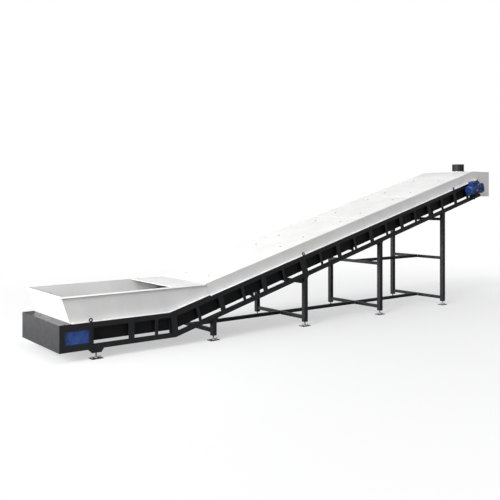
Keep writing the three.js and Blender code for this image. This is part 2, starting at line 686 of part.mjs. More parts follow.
// Head hood: level roof, upright end and an open bottom for the discharge.
function headHood() {
  const base = FRAME_HEIGHT + GAP;
  const start = HOOD_SEAMS_S[HOOD_SECTIONS - 1];
  const clear = INCLINE_LENGTH + 1;
  const roofZ = FRAME_BASE + HEAD_TOP_H;
  const bottomZ = FRAME_BASE + HEAD_BOTTOM_H;
  const bendX = KNEE_X + (HEAD_TOP_H - HOOD_H / Math.cos(INCLINE)) / Math.tan(INCLINE);
  const [frameEndX, frameEndZ] = up(clear, 0);
  const wallEnd = HEAD_END_X - SET_BACK;
  const sides = [
    up(start + SET_BACK, base),
    up(clear, base),
    [frameEndX - (bottomZ - frameEndZ) * Math.tan(INCLINE), bottomZ],
    [wallEnd, bottomZ],
    [wallEnd, roofZ - SET_BACK],
    [bendX, roofZ - SET_BACK],
    up(start + SET_BACK, HOOD_H - SET_BACK),
  ];
  const roof = [
    up(start, HOOD_H - COVER_SHEET),
    [bendX + 1, roofZ - COVER_SHEET],
    [wallEnd - SET_BACK, roofZ - COVER_SHEET],
    [wallEnd - SET_BACK, roofZ],
    [bendX, roofZ],
    up(start, HOOD_H),
  ];
  const endX = [HEAD_END_X - COVER_SHEET, HEAD_END_X];
  const wall = HOOD_HALF - 0.5;
  const foot = inclineBand(start + 3, INCLINE_LENGTH - 4, base + SET_BACK, base + COVER_SHEET);
  const walls = [NEAR, FAR].flatMap((side) => [
    sided(side, sides, wall - COVER_SHEET, wall),
    sided(side, foot, wall - 1, FRAME_HALF - 4),
  ]);
  return mesh("head_hood", white, weld([
    across(roof, -HOOD_HALF, HOOD_HALF),
    ...walls,
    box(...endX, 1 - wall, wall - 1, bottomZ - SET_BACK, roofZ - 2 * SET_BACK),
    cylinderZ(DUCT_X, 0, DUCT_RADIUS + 30, roofZ - 1, roofZ + 24, 32),
  ], [cylinderZ(DUCT_X, 0, DUCT_RADIUS - 8, roofZ - 20, roofZ + 40, 32)]));
}

// Short duct collar that stands on the head hood's flange.
function ductCollar() {
  const z = FRAME_BASE + HEAD_TOP_H + 24 + GAP;
  const profile = [
    [DUCT_RADIUS - 5, 0],
    [DUCT_RADIUS + 6, 0],
    [DUCT_RADIUS + 6, 10],
    [DUCT_RADIUS, 10],
    [DUCT_RADIUS, 160],
    [DUCT_RADIUS + 4, 164],
    [DUCT_RADIUS + 4, 176],
    [DUCT_RADIUS - 5, 176],
    [DUCT_RADIUS - 5, 0],
  ];
  const turned = new THREE.LatheGeometry(profile.map(([r, h]) => new THREE.Vector2(r, h)), 32);
  const collar = mesh("duct_collar", darkSheet, solid(turned.rotateX(Math.PI / 2)));
  collar.position.set(DUCT_X, 0, z);
  return collar;
}

// ---------------------------------------------------------------- head drive
function headBearing(side) {
  const [x, z] = up(HEAD_S, DRUM_H);
  const face = CHORD_INNER + 22 + GAP;
  const turned = new THREE.Group();
  const made = weld([
    sided(side, [[-65, -65], [65, -65], [65, 65], [-65, 65]], face, face + 14),
    sidedRod(side, 0, 0, 46, face, face + 34, 24),
  ], [sidedRod(side, 0, 0, 26, face - 5, face + 60, 20)]);
  const bearing = mesh("head_bearing_" + sideName(side), iron, made);
  turned.position.set(x, 0, z);
  turned.rotation.y = -INCLINE;
  turned.add(bearing);
  return turned;
}

// Casting round the head shaft, with a round neck and a flange towards the motor.
function gearbox() {
  const outline = [
    [-95, -70],
    [-65, -100],
    [30, -100],
    [66, -60],
    [66, 70],
    [36, 112],
    [-95, 112],
  ];
  const half = GEARBOX_HALF;
  return mesh("gearbox", blue, weld([
    across(outline, DRIVE_Y - half, DRIVE_Y + half),
    cylinderY(0, 0, 58, DRIVE_Y - half - 8, DRIVE_Y + half + 6, 28),
    cylinderX(DRIVE_Y, MOTOR_RISE, 56, -118, -80, 28),
    cylinderX(DRIVE_Y, MOTOR_RISE, 112, -127, -112, 32),
  ], [cylinderY(0, 0, 26, DRIVE_Y - 120, DRIVE_Y + 120, 20)]));
}

// Finned barrel, end shield, drive flange and the pad under the terminal box.
function motorBody() {
  const fins = 18;
  const outline = Array.from({ length: fins * 4 }, (_, i) => {
    const radius = i % 4 < 2 ? MOTOR_RADIUS + 11 : MOTOR_RADIUS;
    const angle = (2 * Math.PI * (Math.floor(i / 4) + [0, 0.28, 0.36, 0.92][i % 4])) / fins;
    return [DRIVE_Y + radius * Math.cos(angle), MOTOR_RISE + radius * Math.sin(angle)];
  });
  return mesh("motor_body", blue, weld([
    along(outline, MOTOR_BACK + 15, -165),
    cylinderX(DRIVE_Y, MOTOR_RISE, 94, MOTOR_BACK, -140, 32),
    cylinderX(DRIVE_Y, MOTOR_RISE, 118, -146, -127 - GAP, 32),
    box(-325, -205, DRIVE_Y - 52, DRIVE_Y + 52, MOTOR_RISE + 60, MOTOR_RISE + 113),
  ]));
}

// Box with an overlapping lid, and the threaded entry for the supply cable.
function terminalBox() {
  const low = MOTOR_RISE + 113 + GAP;
  return mesh("terminal_box", blue, weld([
    box(-330, -200, DRIVE_Y - 60, DRIVE_Y + 60, low, low + 46),
    box(-334, -196, DRIVE_Y - 64, DRIVE_Y + 64, low + 44, low + 62),
    cylinderY(-265, low + 24, 13, DRIVE_Y - 84, DRIVE_Y - 58, 20),
  ]));
}

// Cup over the fan with a round row of air slots in its end face.
function fanCover() {
  const length = 90;
  const back = MOTOR_BACK - 76;
  const profile = [
    [0, 0],
    [92, 0],
    [104, 10],
    [104, length],
    [101, length],
    [101, 12],
    [90, 3],
    [0, 3],
  ];
  const slotCount = 8;
  const turned = new THREE.LatheGeometry(profile.map(([r, h]) => new THREE.Vector2(r, h)), 28);
  const cup = turned.rotateZ(-Math.PI / 2).translate(back, DRIVE_Y, MOTOR_RISE);
  const slots = Array.from({ length: slotCount }, (_, i) => {
    const slot = box(-10, 10, 34, 84, -5, 5);
    return slot.rotateX((2 * Math.PI * i) / slotCount).translate(back, DRIVE_Y, MOTOR_RISE);
  });
  return mesh("fan_cover", blue, weld([cup], slots));
}

function motorFan() {
  const bladeCount = 6;
  const blades = Array.from({ length: bladeCount }, (_, i) => {
    const blade = box(MOTOR_BACK - 60, MOTOR_BACK - 22, 15, 88, -2, 2);
    return blade.rotateX((2 * Math.PI * i) / bladeCount).translate(0, DRIVE_Y, MOTOR_RISE);
  });
  return mesh("motor_fan", rubber, weld([
    cylinderX(DRIVE_Y, MOTOR_RISE, 26, MOTOR_BACK - 62, MOTOR_BACK - 14, 16),
    cylinderX(DRIVE_Y, MOTOR_RISE, 12, MOTOR_BACK - 16, MOTOR_BACK - GAP, 16),
    ...blades,
  ]));
}

// Plate that stops the gearbox turning round the shaft, with a pad on the lower chord.
function torqueArm() {
  const arm = [
    [-80, -60],
    [-20, -95],
    [-178, -222],
    [-212, -222],
    [-222, -188],
  ];
  const face = DRIVE_Y + GEARBOX_HALF + GAP;
  return mesh("torque_arm", charcoal, weld([
    across(arm, face, face + 12),
    cylinderY(-196, -200, 19, face + 7, -FRAME_HALF - GAP, 24),
  ]));
}

function driveStation() {
  const station = new THREE.Group();
  const [x, z] = up(HEAD_S, DRUM_H);
  station.position.set(x, 0, z);
  station.rotation.y = -INCLINE;
  station.add(gearbox(), motorBody(), terminalBox(), fanCover(), motorFan(), torqueArm());
  return station;
}

// ---------------------------------------------------------------- supports
// Two hollow legs under the lower chords, joined by cross tubes, with gussets at the top.
function trestle(index) {
  const x = TRESTLE_X[index];
  const half = LEG / 2;
  const topZ = (at, h) => inclineAt(at, h)[1];
  const leg = [
    [x - half, LEG_BOTTOM],
    [x + half, LEG_BOTTOM],
    [x + half, topZ(x + half, -GAP)],
    [x - half, topZ(x - half, -GAP)],
  ];
  const gusset = (sign) => {
    const edge = x + sign * (half - WELD);
    const tip = x + sign * (half + 62);
    return [
      [edge, topZ(edge, -GAP)],
      [edge, topZ(edge, -90)],
      [tip, topZ(tip, -12)],
      [tip, topZ(tip, -GAP)],
    ];
  };
  const levels = [LOW_TIE_Z];
  if (index >= 2) levels.push(MID_TIE_Z);
  if (HIGH_TIE_Z[index]) levels.push(HIGH_TIE_Z[index]);
  const reach = LEG_Y - half + WELD;
  const r = TIE / 2;
  const shapes = [
    ...[NEAR, FAR].flatMap((side) => [
      sided(side, leg, LEG_Y - half, LEG_Y + half),
      sided(side, gusset(-1), LEG_Y - 5, LEG_Y + 5),
      sided(side, gusset(1), LEG_Y - 5, LEG_Y + 5),
    ]),
    ...levels.map((z) => box(x - r, x + r, -reach, reach, z - r, z + r)),
  ];
  const core = half - LEG_WALL;
  const tube = r - LEG_WALL;
  const legTop = topZ(x + half, 60);
  const cuts = [
    ...[NEAR, FAR].flatMap((side) => [
      box(x - core, x + core, side * LEG_Y - core, side * LEG_Y + core, LEG_BOTTOM + 12, legTop),
      cylinderZ(x, side * LEG_Y, FOOT_STUD + 0.9, LEG_BOTTOM - 10, LEG_BOTTOM + 20, 12),
    ]),
    ...levels.map((z) => box(x - tube, x + tube, -reach - 6, reach + 6, z - tube, z + tube)),
  ];
  return mesh("trestle_" + (index + 1), charcoal, weld(shapes, cuts));
}

// Tube on the centre line between two trestles' cross tubes.
function tie(name, from, to, z) {
  const r = TIE / 2;
  const bore = r - LEG_WALL;
  const [x0, x1] = [TRESTLE_X[from] + r + GAP, TRESTLE_X[to] - r - GAP];
  const inside = box(x0 - 5, x1 + 5, -bore, bore, z - bore, z + bore);
  return mesh(name, charcoal, weld([box(x0, x1, -r, r, z - r, z + r)], [inside]));
}

// Levelling foot: base plate, cone, lock nut and threaded stud; its origin is on the floor.
function levellingFoot(name, x, side, studTop) {
  const foot = mesh(name, zinc, weld([
    box(-FOOT_HALF_X, FOOT_HALF_X, -FOOT_HALF_Y, FOOT_HALF_Y, 0, 8),
    new THREE.CylinderGeometry(15, 30, 22, 8).rotateX(Math.PI / 2).translate(0, 0, 18),
    cylinderZ(0, 0, 18, 36, 52, 6),
    cylinderZ(0, 0, FOOT_STUD, 20, studTop, 8),
  ]));
  foot.position.set(x, side * LEG_Y, 0);
  return foot;
}

function levellingFeet() {
  const tailTop = FRAME_BASE - 20;
  const legTop = LEG_BOTTOM + 60;
  return [NEAR, FAR].flatMap((side) => [
    levellingFoot("levelling_foot_tail_" + sideName(side), TAIL_FOOT_X, side, tailTop),
    ...TRESTLE_X.map((x, i) => levellingFoot(`levelling_foot_${i + 1}_${sideName(side)}`, x, side, legTop)),
  ]);
}

// ---------------------------------------------------------------- assembly
const conveyor = new THREE.Group();
conveyor.position.set(-TAIL_FOOT_X, LEG_Y, 0);
for (const side of [NEAR, FAR]) {
  conveyor.add(infeedSideFrame(side), inclineSideFrame(side), sideSheet(side));
  conveyor.add(skirtBoard(side), hopperSide(side), takeupCover(side));
  conveyor.add(tailBearing(side), headBearing(side), holdDownWheel(side));
}
conveyor.add(tailEndCover(), ...sliderBeds(), beltLoop());
conveyor.add(drum("tail_drum", flat(TAIL_X, DRUM_H), FRAME_HALF - 35, FRAME_HALF - 35));
conveyor.add(drum("head_drum", up(HEAD_S, DRUM_H), GEARBOX_HALF + 10 - DRIVE_Y, FRAME_HALF + 10));
conveyor.add(roller(
  "knee_roller",
  knee(RETURN_H + BELT_THICKNESS + KNEE_ROLLER),
  KNEE_ROLLER - DRUM_PLAY,
  15,
  620,
  CHORD_INNER + 6,
  steel,
));
RETURN_ROLLER_S.forEach((s, i) => {
  const place = up(s, RETURN_H - RETURN_ROLLER - GAP);
  conveyor.add(roller("return_roller_" + (i + 1), place, RETURN_ROLLER, 10, 630, CHORD_INNER - 31, steel));
});
conveyor.add(hopperFront(), hopperDeck());
conveyor.add(...HOOD_SEAMS_S.map((_, i) => hoodSection(i + 1)), headHood(), ductCollar());
conveyor.add(driveStation());
conveyor.add(...TRESTLE_X.map((_, i) => trestle(i)));
conveyor.add(tie("lower_tie_1", 0, 1, LOW_TIE_Z), tie("lower_tie_2", 1, 2, LOW_TIE_Z));
conveyor.add(tie("lower_tie_3", 2, 3, LOW_TIE_Z), tie("upper_tie", 2, 3, MID_TIE_Z));
conveyor.add(...levellingFeet());

export default conveyor;
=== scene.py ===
import json
import math
import random

import bmesh
import bpy
from mathutils import Matrix, Vector

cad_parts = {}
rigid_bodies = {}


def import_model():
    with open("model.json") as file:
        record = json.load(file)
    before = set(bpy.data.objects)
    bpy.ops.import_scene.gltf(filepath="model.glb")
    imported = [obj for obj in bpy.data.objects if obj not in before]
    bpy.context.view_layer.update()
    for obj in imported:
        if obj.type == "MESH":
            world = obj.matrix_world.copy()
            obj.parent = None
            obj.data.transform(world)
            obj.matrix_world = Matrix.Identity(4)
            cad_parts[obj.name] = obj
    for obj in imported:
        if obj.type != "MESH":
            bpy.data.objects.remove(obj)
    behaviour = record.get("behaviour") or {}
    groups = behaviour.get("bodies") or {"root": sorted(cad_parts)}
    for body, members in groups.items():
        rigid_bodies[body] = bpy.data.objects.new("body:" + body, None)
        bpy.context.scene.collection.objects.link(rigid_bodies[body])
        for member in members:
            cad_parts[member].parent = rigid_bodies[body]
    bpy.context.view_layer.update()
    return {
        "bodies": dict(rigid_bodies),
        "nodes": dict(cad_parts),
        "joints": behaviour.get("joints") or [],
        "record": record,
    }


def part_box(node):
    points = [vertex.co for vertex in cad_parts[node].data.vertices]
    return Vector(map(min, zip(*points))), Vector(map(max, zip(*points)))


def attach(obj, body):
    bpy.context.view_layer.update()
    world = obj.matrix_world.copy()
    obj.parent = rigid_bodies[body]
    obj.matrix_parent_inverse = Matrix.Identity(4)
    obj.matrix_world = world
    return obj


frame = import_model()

random.seed(11)

# ---------------------------------------------------------------- places, in metres
# "x" runs from the tail panel, "s" up the incline from the knee, "h" stands square to the chords'
# underside and "y" is measured from the belt's centre line. A "z" is a height over the floor, or
# in the drive it is measured from the head shaft. "near" is the drive side, at negative y.
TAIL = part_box("tail_end_cover")[0]
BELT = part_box("conveyor_belt")
TAIL_X = TAIL.x
BASE = TAIL.z
MID_Y = (BELT[0].y + BELT[1].y) / 2
FAN_AXIS = next(j["axis"] for j in frame["joints"] if j["name"] == "motor_fan_spin")
INCLINE = math.atan2(FAN_AXIS[2], FAN_AXIS[0])
UPWARD = Vector((math.cos(INCLINE), 0, math.sin(INCLINE)))
SQUARE = Vector((-math.sin(INCLINE), 0, math.cos(INCLINE)))
X = Vector((1, 0, 0))
Y = Vector((0, 1, 0))
Z = Vector((0, 0, 1))
NEAR, FAR = -1, 1
SIDES = {"near": NEAR, "far": FAR}

KNEE_X = 1.947
FRAME_HALF = 0.750
FRAME_HEIGHT = 0.400
LOWER_CHORD = 0.070
UPPER_CHORD = 0.080
WINDOW_H = (LOWER_CHORD, FRAME_HEIGHT - UPPER_CHORD)
POST_PROUD = 0.006
POST_MARGIN = 0.008
POST_FIRST_S = 0.984
POST_PITCH = 0.951
WIDE_POSTS = 8
WIDE_POST = 0.100
NARROW_POST = 0.056
LAST_POST_S = 8.245
LEVEL_POSTS = ((1.150, WIDE_POST), (1.590, NARROW_POST))
SPLICE_S = 0.795
SHEET_Y = 0.6872
CARRY_H = 0.348
HEAD_S = 8.460
DRUM_H = 0.235
TAIL_DRUM_X = 0.270
COVER_Y = FRAME_HALF - 0.018
TAIL_FACE_X = 0.0042
FLANGE_Y = 0.716
HOOD_HALF = 0.684
HOOD_H = 0.611
RIM_H = 0.799
RIM_X = 0.056
HOPPER_BASE_X = 0.192
HOOD_START_S = (RIM_H - HOOD_H * math.cos(INCLINE)) / math.sin(INCLINE)
HOOD_SECTIONS = 4
SEAM_FIRST_S = 3.060
SEAM_PITCH = 1.640
HOOD_SEAMS_S = [SEAM_FIRST_S + i * SEAM_PITCH for i in range(HOOD_SECTIONS)]
PLUG_INSET = 0.30
PLUG_Y = 0.36
SKIRT_INNER = 0.540
SKIRT_START_X = 0.252
TRESTLE_FEET = [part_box(f"levelling_foot_{k}_near") for k in (1, 2, 3, 4)]
TRESTLE_X = [(low.x + high.x) / 2 - TAIL_X for low, high in TRESTLE_FEET]
LEG = 0.080
LEG_Y = 0.710
TIE = 0.060
LOW_TIE_Z = 0.161
MID_TIE_Z = 1.036
TIES = ((0, 1, LOW_TIE_Z), (1, 2, LOW_TIE_Z), (2, 3, LOW_TIE_Z), (2, 3, MID_TIE_Z))
DRIVE_Y = -0.875
GEARBOX_HALF = 0.060
MOTOR_RISE = 0.045
MOTOR_BACK = -0.375
MOTOR_RADIUS = 0.100
DUCT_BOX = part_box("duct_collar")
DUCT_RADIUS = 0.138

# Threads of bolts, heads of screws and rivets, and weld beads
M6, M8, M10, M12, M14 = 0.006, 0.008, 0.010, 0.012, 0.014
PLATE_RIVET, CAP_SCREW, SMALL_SCREW = 0.004, 0.007, 0.010
COVER_SCREW, SHEET_SCREW, TAIL_SCREW = 0.012, 0.014, 0.016
FILLET, FINE_FILLET, SEALANT = 0.0035, 0.003, 0.0022


def flat(x, y, h):
    return Vector((TAIL_X + x, MID_Y + y, BASE + h))


def up(s, y, h):
    return Vector((TAIL_X + KNEE_X, MID_Y + y, BASE)) + s * UPWARD + h * SQUARE


def drive(x, y, z):
    """A place measured from the head shaft: x up the incline, z square to it."""
    return up(HEAD_S + x, y, DRUM_H + z)


# ---------------------------------------------------------------- shader nodes
def feed(tree, socket, value):
    """Links a node's output to the socket, or sets the socket to a plain value."""
    if isinstance(value, bpy.types.NodeSocket):
        tree.links.new(value, socket)
    elif socket.type == "RGBA" and len(value) == 3:
        socket.default_value = (*value, 1)
    else:
        socket.default_value = value


def connect(tree, made, **inputs):
    """Feeds a node's inputs by name, with an underscore for each space."""
    for key, value in inputs.items():
        feed(tree, made.inputs[key.replace("_", " ")], value)


def node(tree, kind, settings=None, **inputs):
    made = tree.nodes.new(kind)
    for key, value in (settings or {}).items():
        setattr(made, key, value)
    connect(tree, made, **inputs)
    return made


def maths(tree, operation, *values, kind="ShaderNodeMath"):
    made = node(tree, kind, {"operation": operation})
    for socket, value in zip(made.inputs, values):
        feed(tree, socket, value)
    return made.outputs["Value"]


def product(tree, a, b):
    return maths(tree, "MULTIPLY", a, b)


def blend(tree, factor, a, b):
    """Colour a where factor is 0, colour b where it is 1."""
    made = node(tree, "ShaderNodeMix", {"data_type": "RGBA"})
    for index, value in ((0, factor), (6, a), (7, b)):
        feed(tree, made.inputs[index], value)
    return made.outputs[2]


def noise(tree, coords, scale, detail=3, distortion=0):
    return node(
        tree, "ShaderNodeTexNoise",
        Vector=coords, Scale=scale, Detail=detail, Distortion=distortion,
    ).outputs[0]


def ramp(tree, value, low, high, to_low=0, to_high=1):
    """Eases from to_low, where value is low, to to_high, where it is high."""
    return node(
        tree, "ShaderNodeMapRange", {"interpolation_type": "SMOOTHSTEP"},
        Value=value, From_Min=low, From_Max=high, To_Min=to_low, To_Max=to_high,
    ).outputs[0]


def bump(tree, height, distance, under=None):
    made = node(tree, "ShaderNodeBump", Height=height, Distance=distance)
    if under is not None:
        connect(tree, made, Normal=under)
    return made.outputs[0]


def stretched(tree, coords, x, y, z):
    return node(tree, "ShaderNodeMapping", Vector=coords, Scale=(x, y, z)).outputs[0]


def scaled(color, factor):
    return tuple(channel * factor for channel in color)


def start(name):
    """A new material: the material, its node tree, its object coordinates and its shader."""
    made = bpy.data.materials.new(name)
    made.use_nodes = True
    tree = made.node_tree
    shader = tree.nodes["Principled BSDF"]
    coords = tree.nodes.new("ShaderNodeTexCoord").outputs["Object"]
    return made, tree, coords, shader


def facing_up(tree):
    """1 on faces that look up, 0 on upright ones and those that look down."""
    geometry = tree.nodes.new("ShaderNodeNewGeometry")
    parts = node(tree, "ShaderNodeSeparateXYZ", Vector=geometry.outputs["Normal"])
    return ramp(tree, parts.outputs["Z"], 0.35, 0.95)


def edges(tree, radius):
    """1 on edges sharper than the radius, 0 on flat faces."""
    soft = node(tree, "ShaderNodeBevel", {"samples": 4}, Radius=radius).outputs[0]
    hard = tree.nodes.new("ShaderNodeNewGeometry").outputs["Normal"]
    likeness = maths(tree, "DOT_PRODUCT", soft, hard, kind="ShaderNodeVectorMath")
    return ramp(tree, likeness, 0.995, 0.9)


# ---------------------------------------------------------------- materials
COOL_ZINC, WARM_ZINC = (0.62, 0.63, 0.66), (0.72, 0.69, 0.62)


def powder_coat(name, color, roughness, dust, dust_color, edge_wear_and_highlight_color, ripple, shine=0.5):
    """Sprayed paint on steel: orange peel, uneven sheen, dust on top and rubbed edges in a set
    colour, which on the charcoal frame paint is lighter than the paint and partly a painted edge
    highlight.
    """
    made, tree, coords, shader = start(name)
    cloud = ramp(tree, noise(tree, coords, 2.2, 4), 0.3, 0.7)
    tone = blend(tree, cloud, scaled(color, 0.955), scaled(color, 1.035))
    runs = noise(tree, stretched(tree, coords, 9, 9, 1.3), 3.5, 5, 0.6)
    grime = product(tree, ramp(tree, runs, 0.52, 0.8), dust)
    tone = blend(tree, grime, tone, scaled(dust_color, 0.7))
    settled = product(tree, facing_up(tree), ramp(tree, noise(tree, coords, 6, 5), 0.35, 0.75))
    settled = product(tree, settled, dust)
    tone = blend(tree, settled, tone, dust_color)
    # Chipped edges take the edge colour: worn paint, and on the charcoal paint partly a painted
    # highlight as well.
    chips = ramp(tree, noise(tree, coords, 38, 4), 0.52, 0.66)
    worn_and_highlit = product(tree, edges(tree, 0.003), chips)
    tone = blend(tree, product(tree, worn_and_highlit, 0.55), tone, edge_wear_and_highlight_color)
    gloss = ramp(tree, noise(tree, coords, 11, 4), 0.3, 0.75, roughness - 0.06, roughness + 0.09)
    gloss = maths(tree, "ADD", gloss, product(tree, settled, 0.35))
    waves = bump(tree, noise(tree, coords, 3.1, 2), ripple)
    peel = bump(tree, noise(tree, coords, 420, 2), 0.00009, waves)
    connect(tree, shader, Base_Color=tone, Roughness=gloss, Normal=peel, IOR=1.48)
    connect(tree, shader, Specular_IOR_Level=shine)
    return made


def cast_paint(name, color, roughness):
    """Enamel over a rough casting, darker in the pits and polished on its edges."""
    made, tree, coords, shader = start(name)
    grain = noise(tree, coords, 190, 5)
    cloud = ramp(tree, noise(tree, coords, 14, 4), 0.3, 0.7)
    tone = blend(tree, cloud, scaled(color, 0.75), scaled(color, 1.2))
    tone = blend(tree, ramp(tree, grain, 0.4, 0.25, 0, 0.6), tone, scaled(color, 0.35))
    dirty = ramp(tree, noise(tree, coords, 26, 5), 0.56, 0.78, 0, 0.5)
    tone = blend(tree, dirty, tone, (0.05, 0.048, 0.045))
    rubbed = product(tree, edges(tree, 0.002), ramp(tree, noise(tree, coords, 60, 3), 0.5, 0.7))
    tone = blend(tree, product(tree, rubbed, 0.6), tone, scaled(color, 2.6))
    gloss = ramp(tree, noise(tree, coords, 40, 4), 0.3, 0.7, roughness - 0.08, roughness + 0.12)
    normal = bump(tree, grain, 0.0007)
    connect(tree, shader, Base_Color=tone, Roughness=gloss, Normal=normal, Coat_Weight=0.25)
    return made


def galvanised(name):
    """Spangled zinc sheet with scuffs along the run of the material."""
    made, tree, coords, shader = start(name)
    cells = node(tree, "ShaderNodeTexVoronoi", Vector=coords, Scale=55)
    spangle = node(tree, "ShaderNodeSeparateXYZ", Vector=cells.outputs["Color"]).outputs["X"]
    tone = blend(tree, spangle, (0.34, 0.35, 0.36), (0.58, 0.59, 0.60))
    scuffs = noise(tree, stretched(tree, coords, 1.5, 60, 60), 5, 6)
    tone = blend(tree, ramp(tree, scuffs, 0.5, 0.72, 0, 0.6), tone, (0.22, 0.215, 0.21))
    gloss = ramp(tree, spangle, 0, 1, 0.28, 0.5)
    normal = bump(tree, scuffs, 0.0002, bump(tree, spangle, 0.00012))
    connect(tree, shader, Base_Color=tone, Metallic=0.9, Roughness=gloss, Normal=normal)
    return made


def turned_steel(name, tone_low, tone_high):
    """Turned tube: fine rings round its axis, which lies along Y, and a belt's polish."""
    made, tree, coords, shader = start(name)
    rings = noise(tree, stretched(tree, coords, 2, 260, 2), 3, 5)
    stain = ramp(tree, noise(tree, coords, 17, 5), 0.45, 0.75)
    tone = blend(tree, rings, (tone_low,) * 3, (tone_high,) * 3)
    tone = blend(tree, product(tree, stain, 0.5), tone, (0.16, 0.12, 0.09))
    gloss = ramp(tree, rings, 0.2, 0.8, 0.26, 0.46)
    normal = bump(tree, rings, 0.00015)
    connect(tree, shader, Base_Color=tone, Metallic=0.95, Roughness=gloss, Normal=normal)
    return made


def plated_steel(name):
    """Bright zinc plate on fasteners and feet, with a faint warm and cool bloom."""
    made, tree, coords, shader = start(name)
    bloom = noise(tree, coords, 45, 3)
    tone = blend(tree, ramp(tree, bloom, 0.35, 0.65), COOL_ZINC, WARM_ZINC)
    tarnish = ramp(tree, noise(tree, coords, 140, 5), 0.55, 0.8, 0, 0.5)
    tone = blend(tree, tarnish, tone, (0.3, 0.29, 0.28))
    gloss = ramp(tree, bloom, 0.3, 0.7, 0.24, 0.4)
    normal = bump(tree, noise(tree, coords, 600, 2), 0.00005)
    connect(tree, shader, Base_Color=tone, Metallic=0.92, Roughness=gloss, Normal=normal)
    return made


def footed_steel(name):
    """Zinc-plated stud and nut over a black painted base plate, with dust along the floor."""
    made, tree, coords, shader = start(name)
    height = node(tree, "ShaderNodeSeparateXYZ", Vector=coords).outputs["Z"]
    plate = ramp(tree, height, 0.0125, 0.0085)
    bloom = noise(tree, coords, 45, 3)
    zinc = blend(tree, ramp(tree, bloom, 0.35, 0.65), COOL_ZINC, WARM_ZINC)
    scuffs = ramp(tree, noise(tree, coords, 70, 5), 0.55, 0.72, 0, 0.35)
    black = blend(tree, scuffs, (0.012, 0.012, 0.014), (0.10, 0.095, 0.09))
    gloss = ramp(tree, bloom, 0.3, 0.7, 0.3, 0.46)
    connect(tree, shader, Base_Color=blend(tree, plate, zinc, black), Roughness=gloss)
    connect(tree, shader, Metallic=maths(tree, "SUBTRACT", 0.92, product(tree, plate, 0.9)))
    connect(tree, shader, Normal=bump(tree, noise(tree, coords, 500, 2), 0.00006))
    return made


def belt_rubber(name):
    """Fabric-topped black belt: a woven grip pattern, a dusty track and long scuffs."""
    made, tree, coords, shader = start(name)
    fine = stretched(tree, coords, 130, 130, 130)
    weave = node(tree, "ShaderNodeTexChecker", Vector=fine, Scale=1).outputs["Fac"]
    lumps = noise(tree, coords, 160, 4)
    track = noise(tree, stretched(tree, coords, 0.8, 14, 0.8), 2.5, 6, 0.4)
    tone = blend(tree, lumps, (0.012, 0.012, 0.013), (0.03, 0.03, 0.031))
    tone = blend(tree, ramp(tree, track, 0.42, 0.8, 0, 0.6), tone, (0.12, 0.112, 0.1))
    gloss = ramp(tree, track, 0.3, 0.8, 0.62, 0.9)
    normal = bump(tree, lumps, 0.0006, bump(tree, weave, 0.0004))
    connect(tree, shader, Base_Color=tone, Roughness=gloss, Normal=normal)
    return made


def moulded(name, color, roughness, grain):
    """Rubber or moulded plastic with a matt grain and a light haze of dust."""
    made, tree, coords, shader = start(name)
    spots = noise(tree, coords, grain, 4)
    haze = ramp(tree, noise(tree, coords, 9, 5), 0.45, 0.8, 0, 0.35)
    tone = blend(tree, haze, color, (0.14, 0.135, 0.13))
    gloss = ramp(tree, spots, 0.3, 0.7, roughness - 0.08, roughness + 0.08)
    connect(tree, shader, Base_Color=tone, Roughness=gloss, Normal=bump(tree, spots, 0.0002))
    return made


def weld_metal(name, color):
    """Painted weld bead: rippled, a little glossier than the sheet beside it."""
    made, tree, coords, shader = start(name)
    ripples = noise(tree, coords, 310, 3)
    tone = blend(tree, ripples, scaled(color, 0.7), scaled(color, 1.5))
    gloss = ramp(tree, ripples, 0.3, 0.7, 0.3, 0.55)
    connect(tree, shader, Base_Color=tone, Roughness=gloss, Normal=bump(tree, ripples, 0.0006))
    return made


CHARCOAL = (0.0160, 0.0165, 0.0190)
WHITE = (0.79, 0.785, 0.78)
WHITE_BEAD = (0.62, 0.62, 0.62)
DUST = (0.22, 0.21, 0.19)
PALE_DUST = (0.60, 0.585, 0.555)
SHEET_DUST = (0.06, 0.06, 0.058)
LOOKS = {
    # The frame paint's light edge colour is worn paint and partly a painted edge highlight.
    "frame_paint": powder_coat(
        "frame_paint", CHARCOAL, roughness=0.34, dust=0.06, dust_color=DUST,
        edge_wear_and_highlight_color=(0.12, 0.12, 0.13), ripple=0.0006, shine=0.42),
    "white_paint": powder_coat(
        "white_paint", WHITE, roughness=0.40, dust=0.08, dust_color=PALE_DUST,
        edge_wear_and_highlight_color=(0.5, 0.5, 0.5), ripple=0.0014),
    "blue_paint": cast_paint("blue_paint", (0.030, 0.085, 0.33), 0.36),
    # The side sheet's near-black is its own dark paint, taken darker than the frame's: partly
    # painted shade for the recess it sits in behind the posts and chords.
    "dark_sheet": powder_coat(
        "dark_sheet", (0.007, 0.007, 0.0078), roughness=0.5, dust=0.06, dust_color=SHEET_DUST,
        edge_wear_and_highlight_color=(0.06, 0.06, 0.06), ripple=0.0012, shine=0.25),
    "duct_paint": powder_coat(
        "duct_paint", (0.014, 0.015, 0.018), roughness=0.42, dust=0.05, dust_color=DUST,
        edge_wear_and_highlight_color=(0.12, 0.12, 0.12), ripple=0.0004, shine=0.3),
    "zinc_sheet": galvanised("zinc_sheet"),
    "belt_rubber": belt_rubber("belt_rubber"),
    "wheel_rubber": moulded("wheel_rubber", (0.018, 0.018, 0.019), 0.72, 260),
    "fan_plastic": moulded("fan_plastic", (0.016, 0.016, 0.018), 0.5, 420),
    "foot_steel": plated_steel("foot_steel"),
    "bearing_iron": cast_paint("bearing_iron", (0.06, 0.065, 0.075), 0.42),
    "drum_steel": turned_steel("drum_steel", 0.34, 0.55),
}
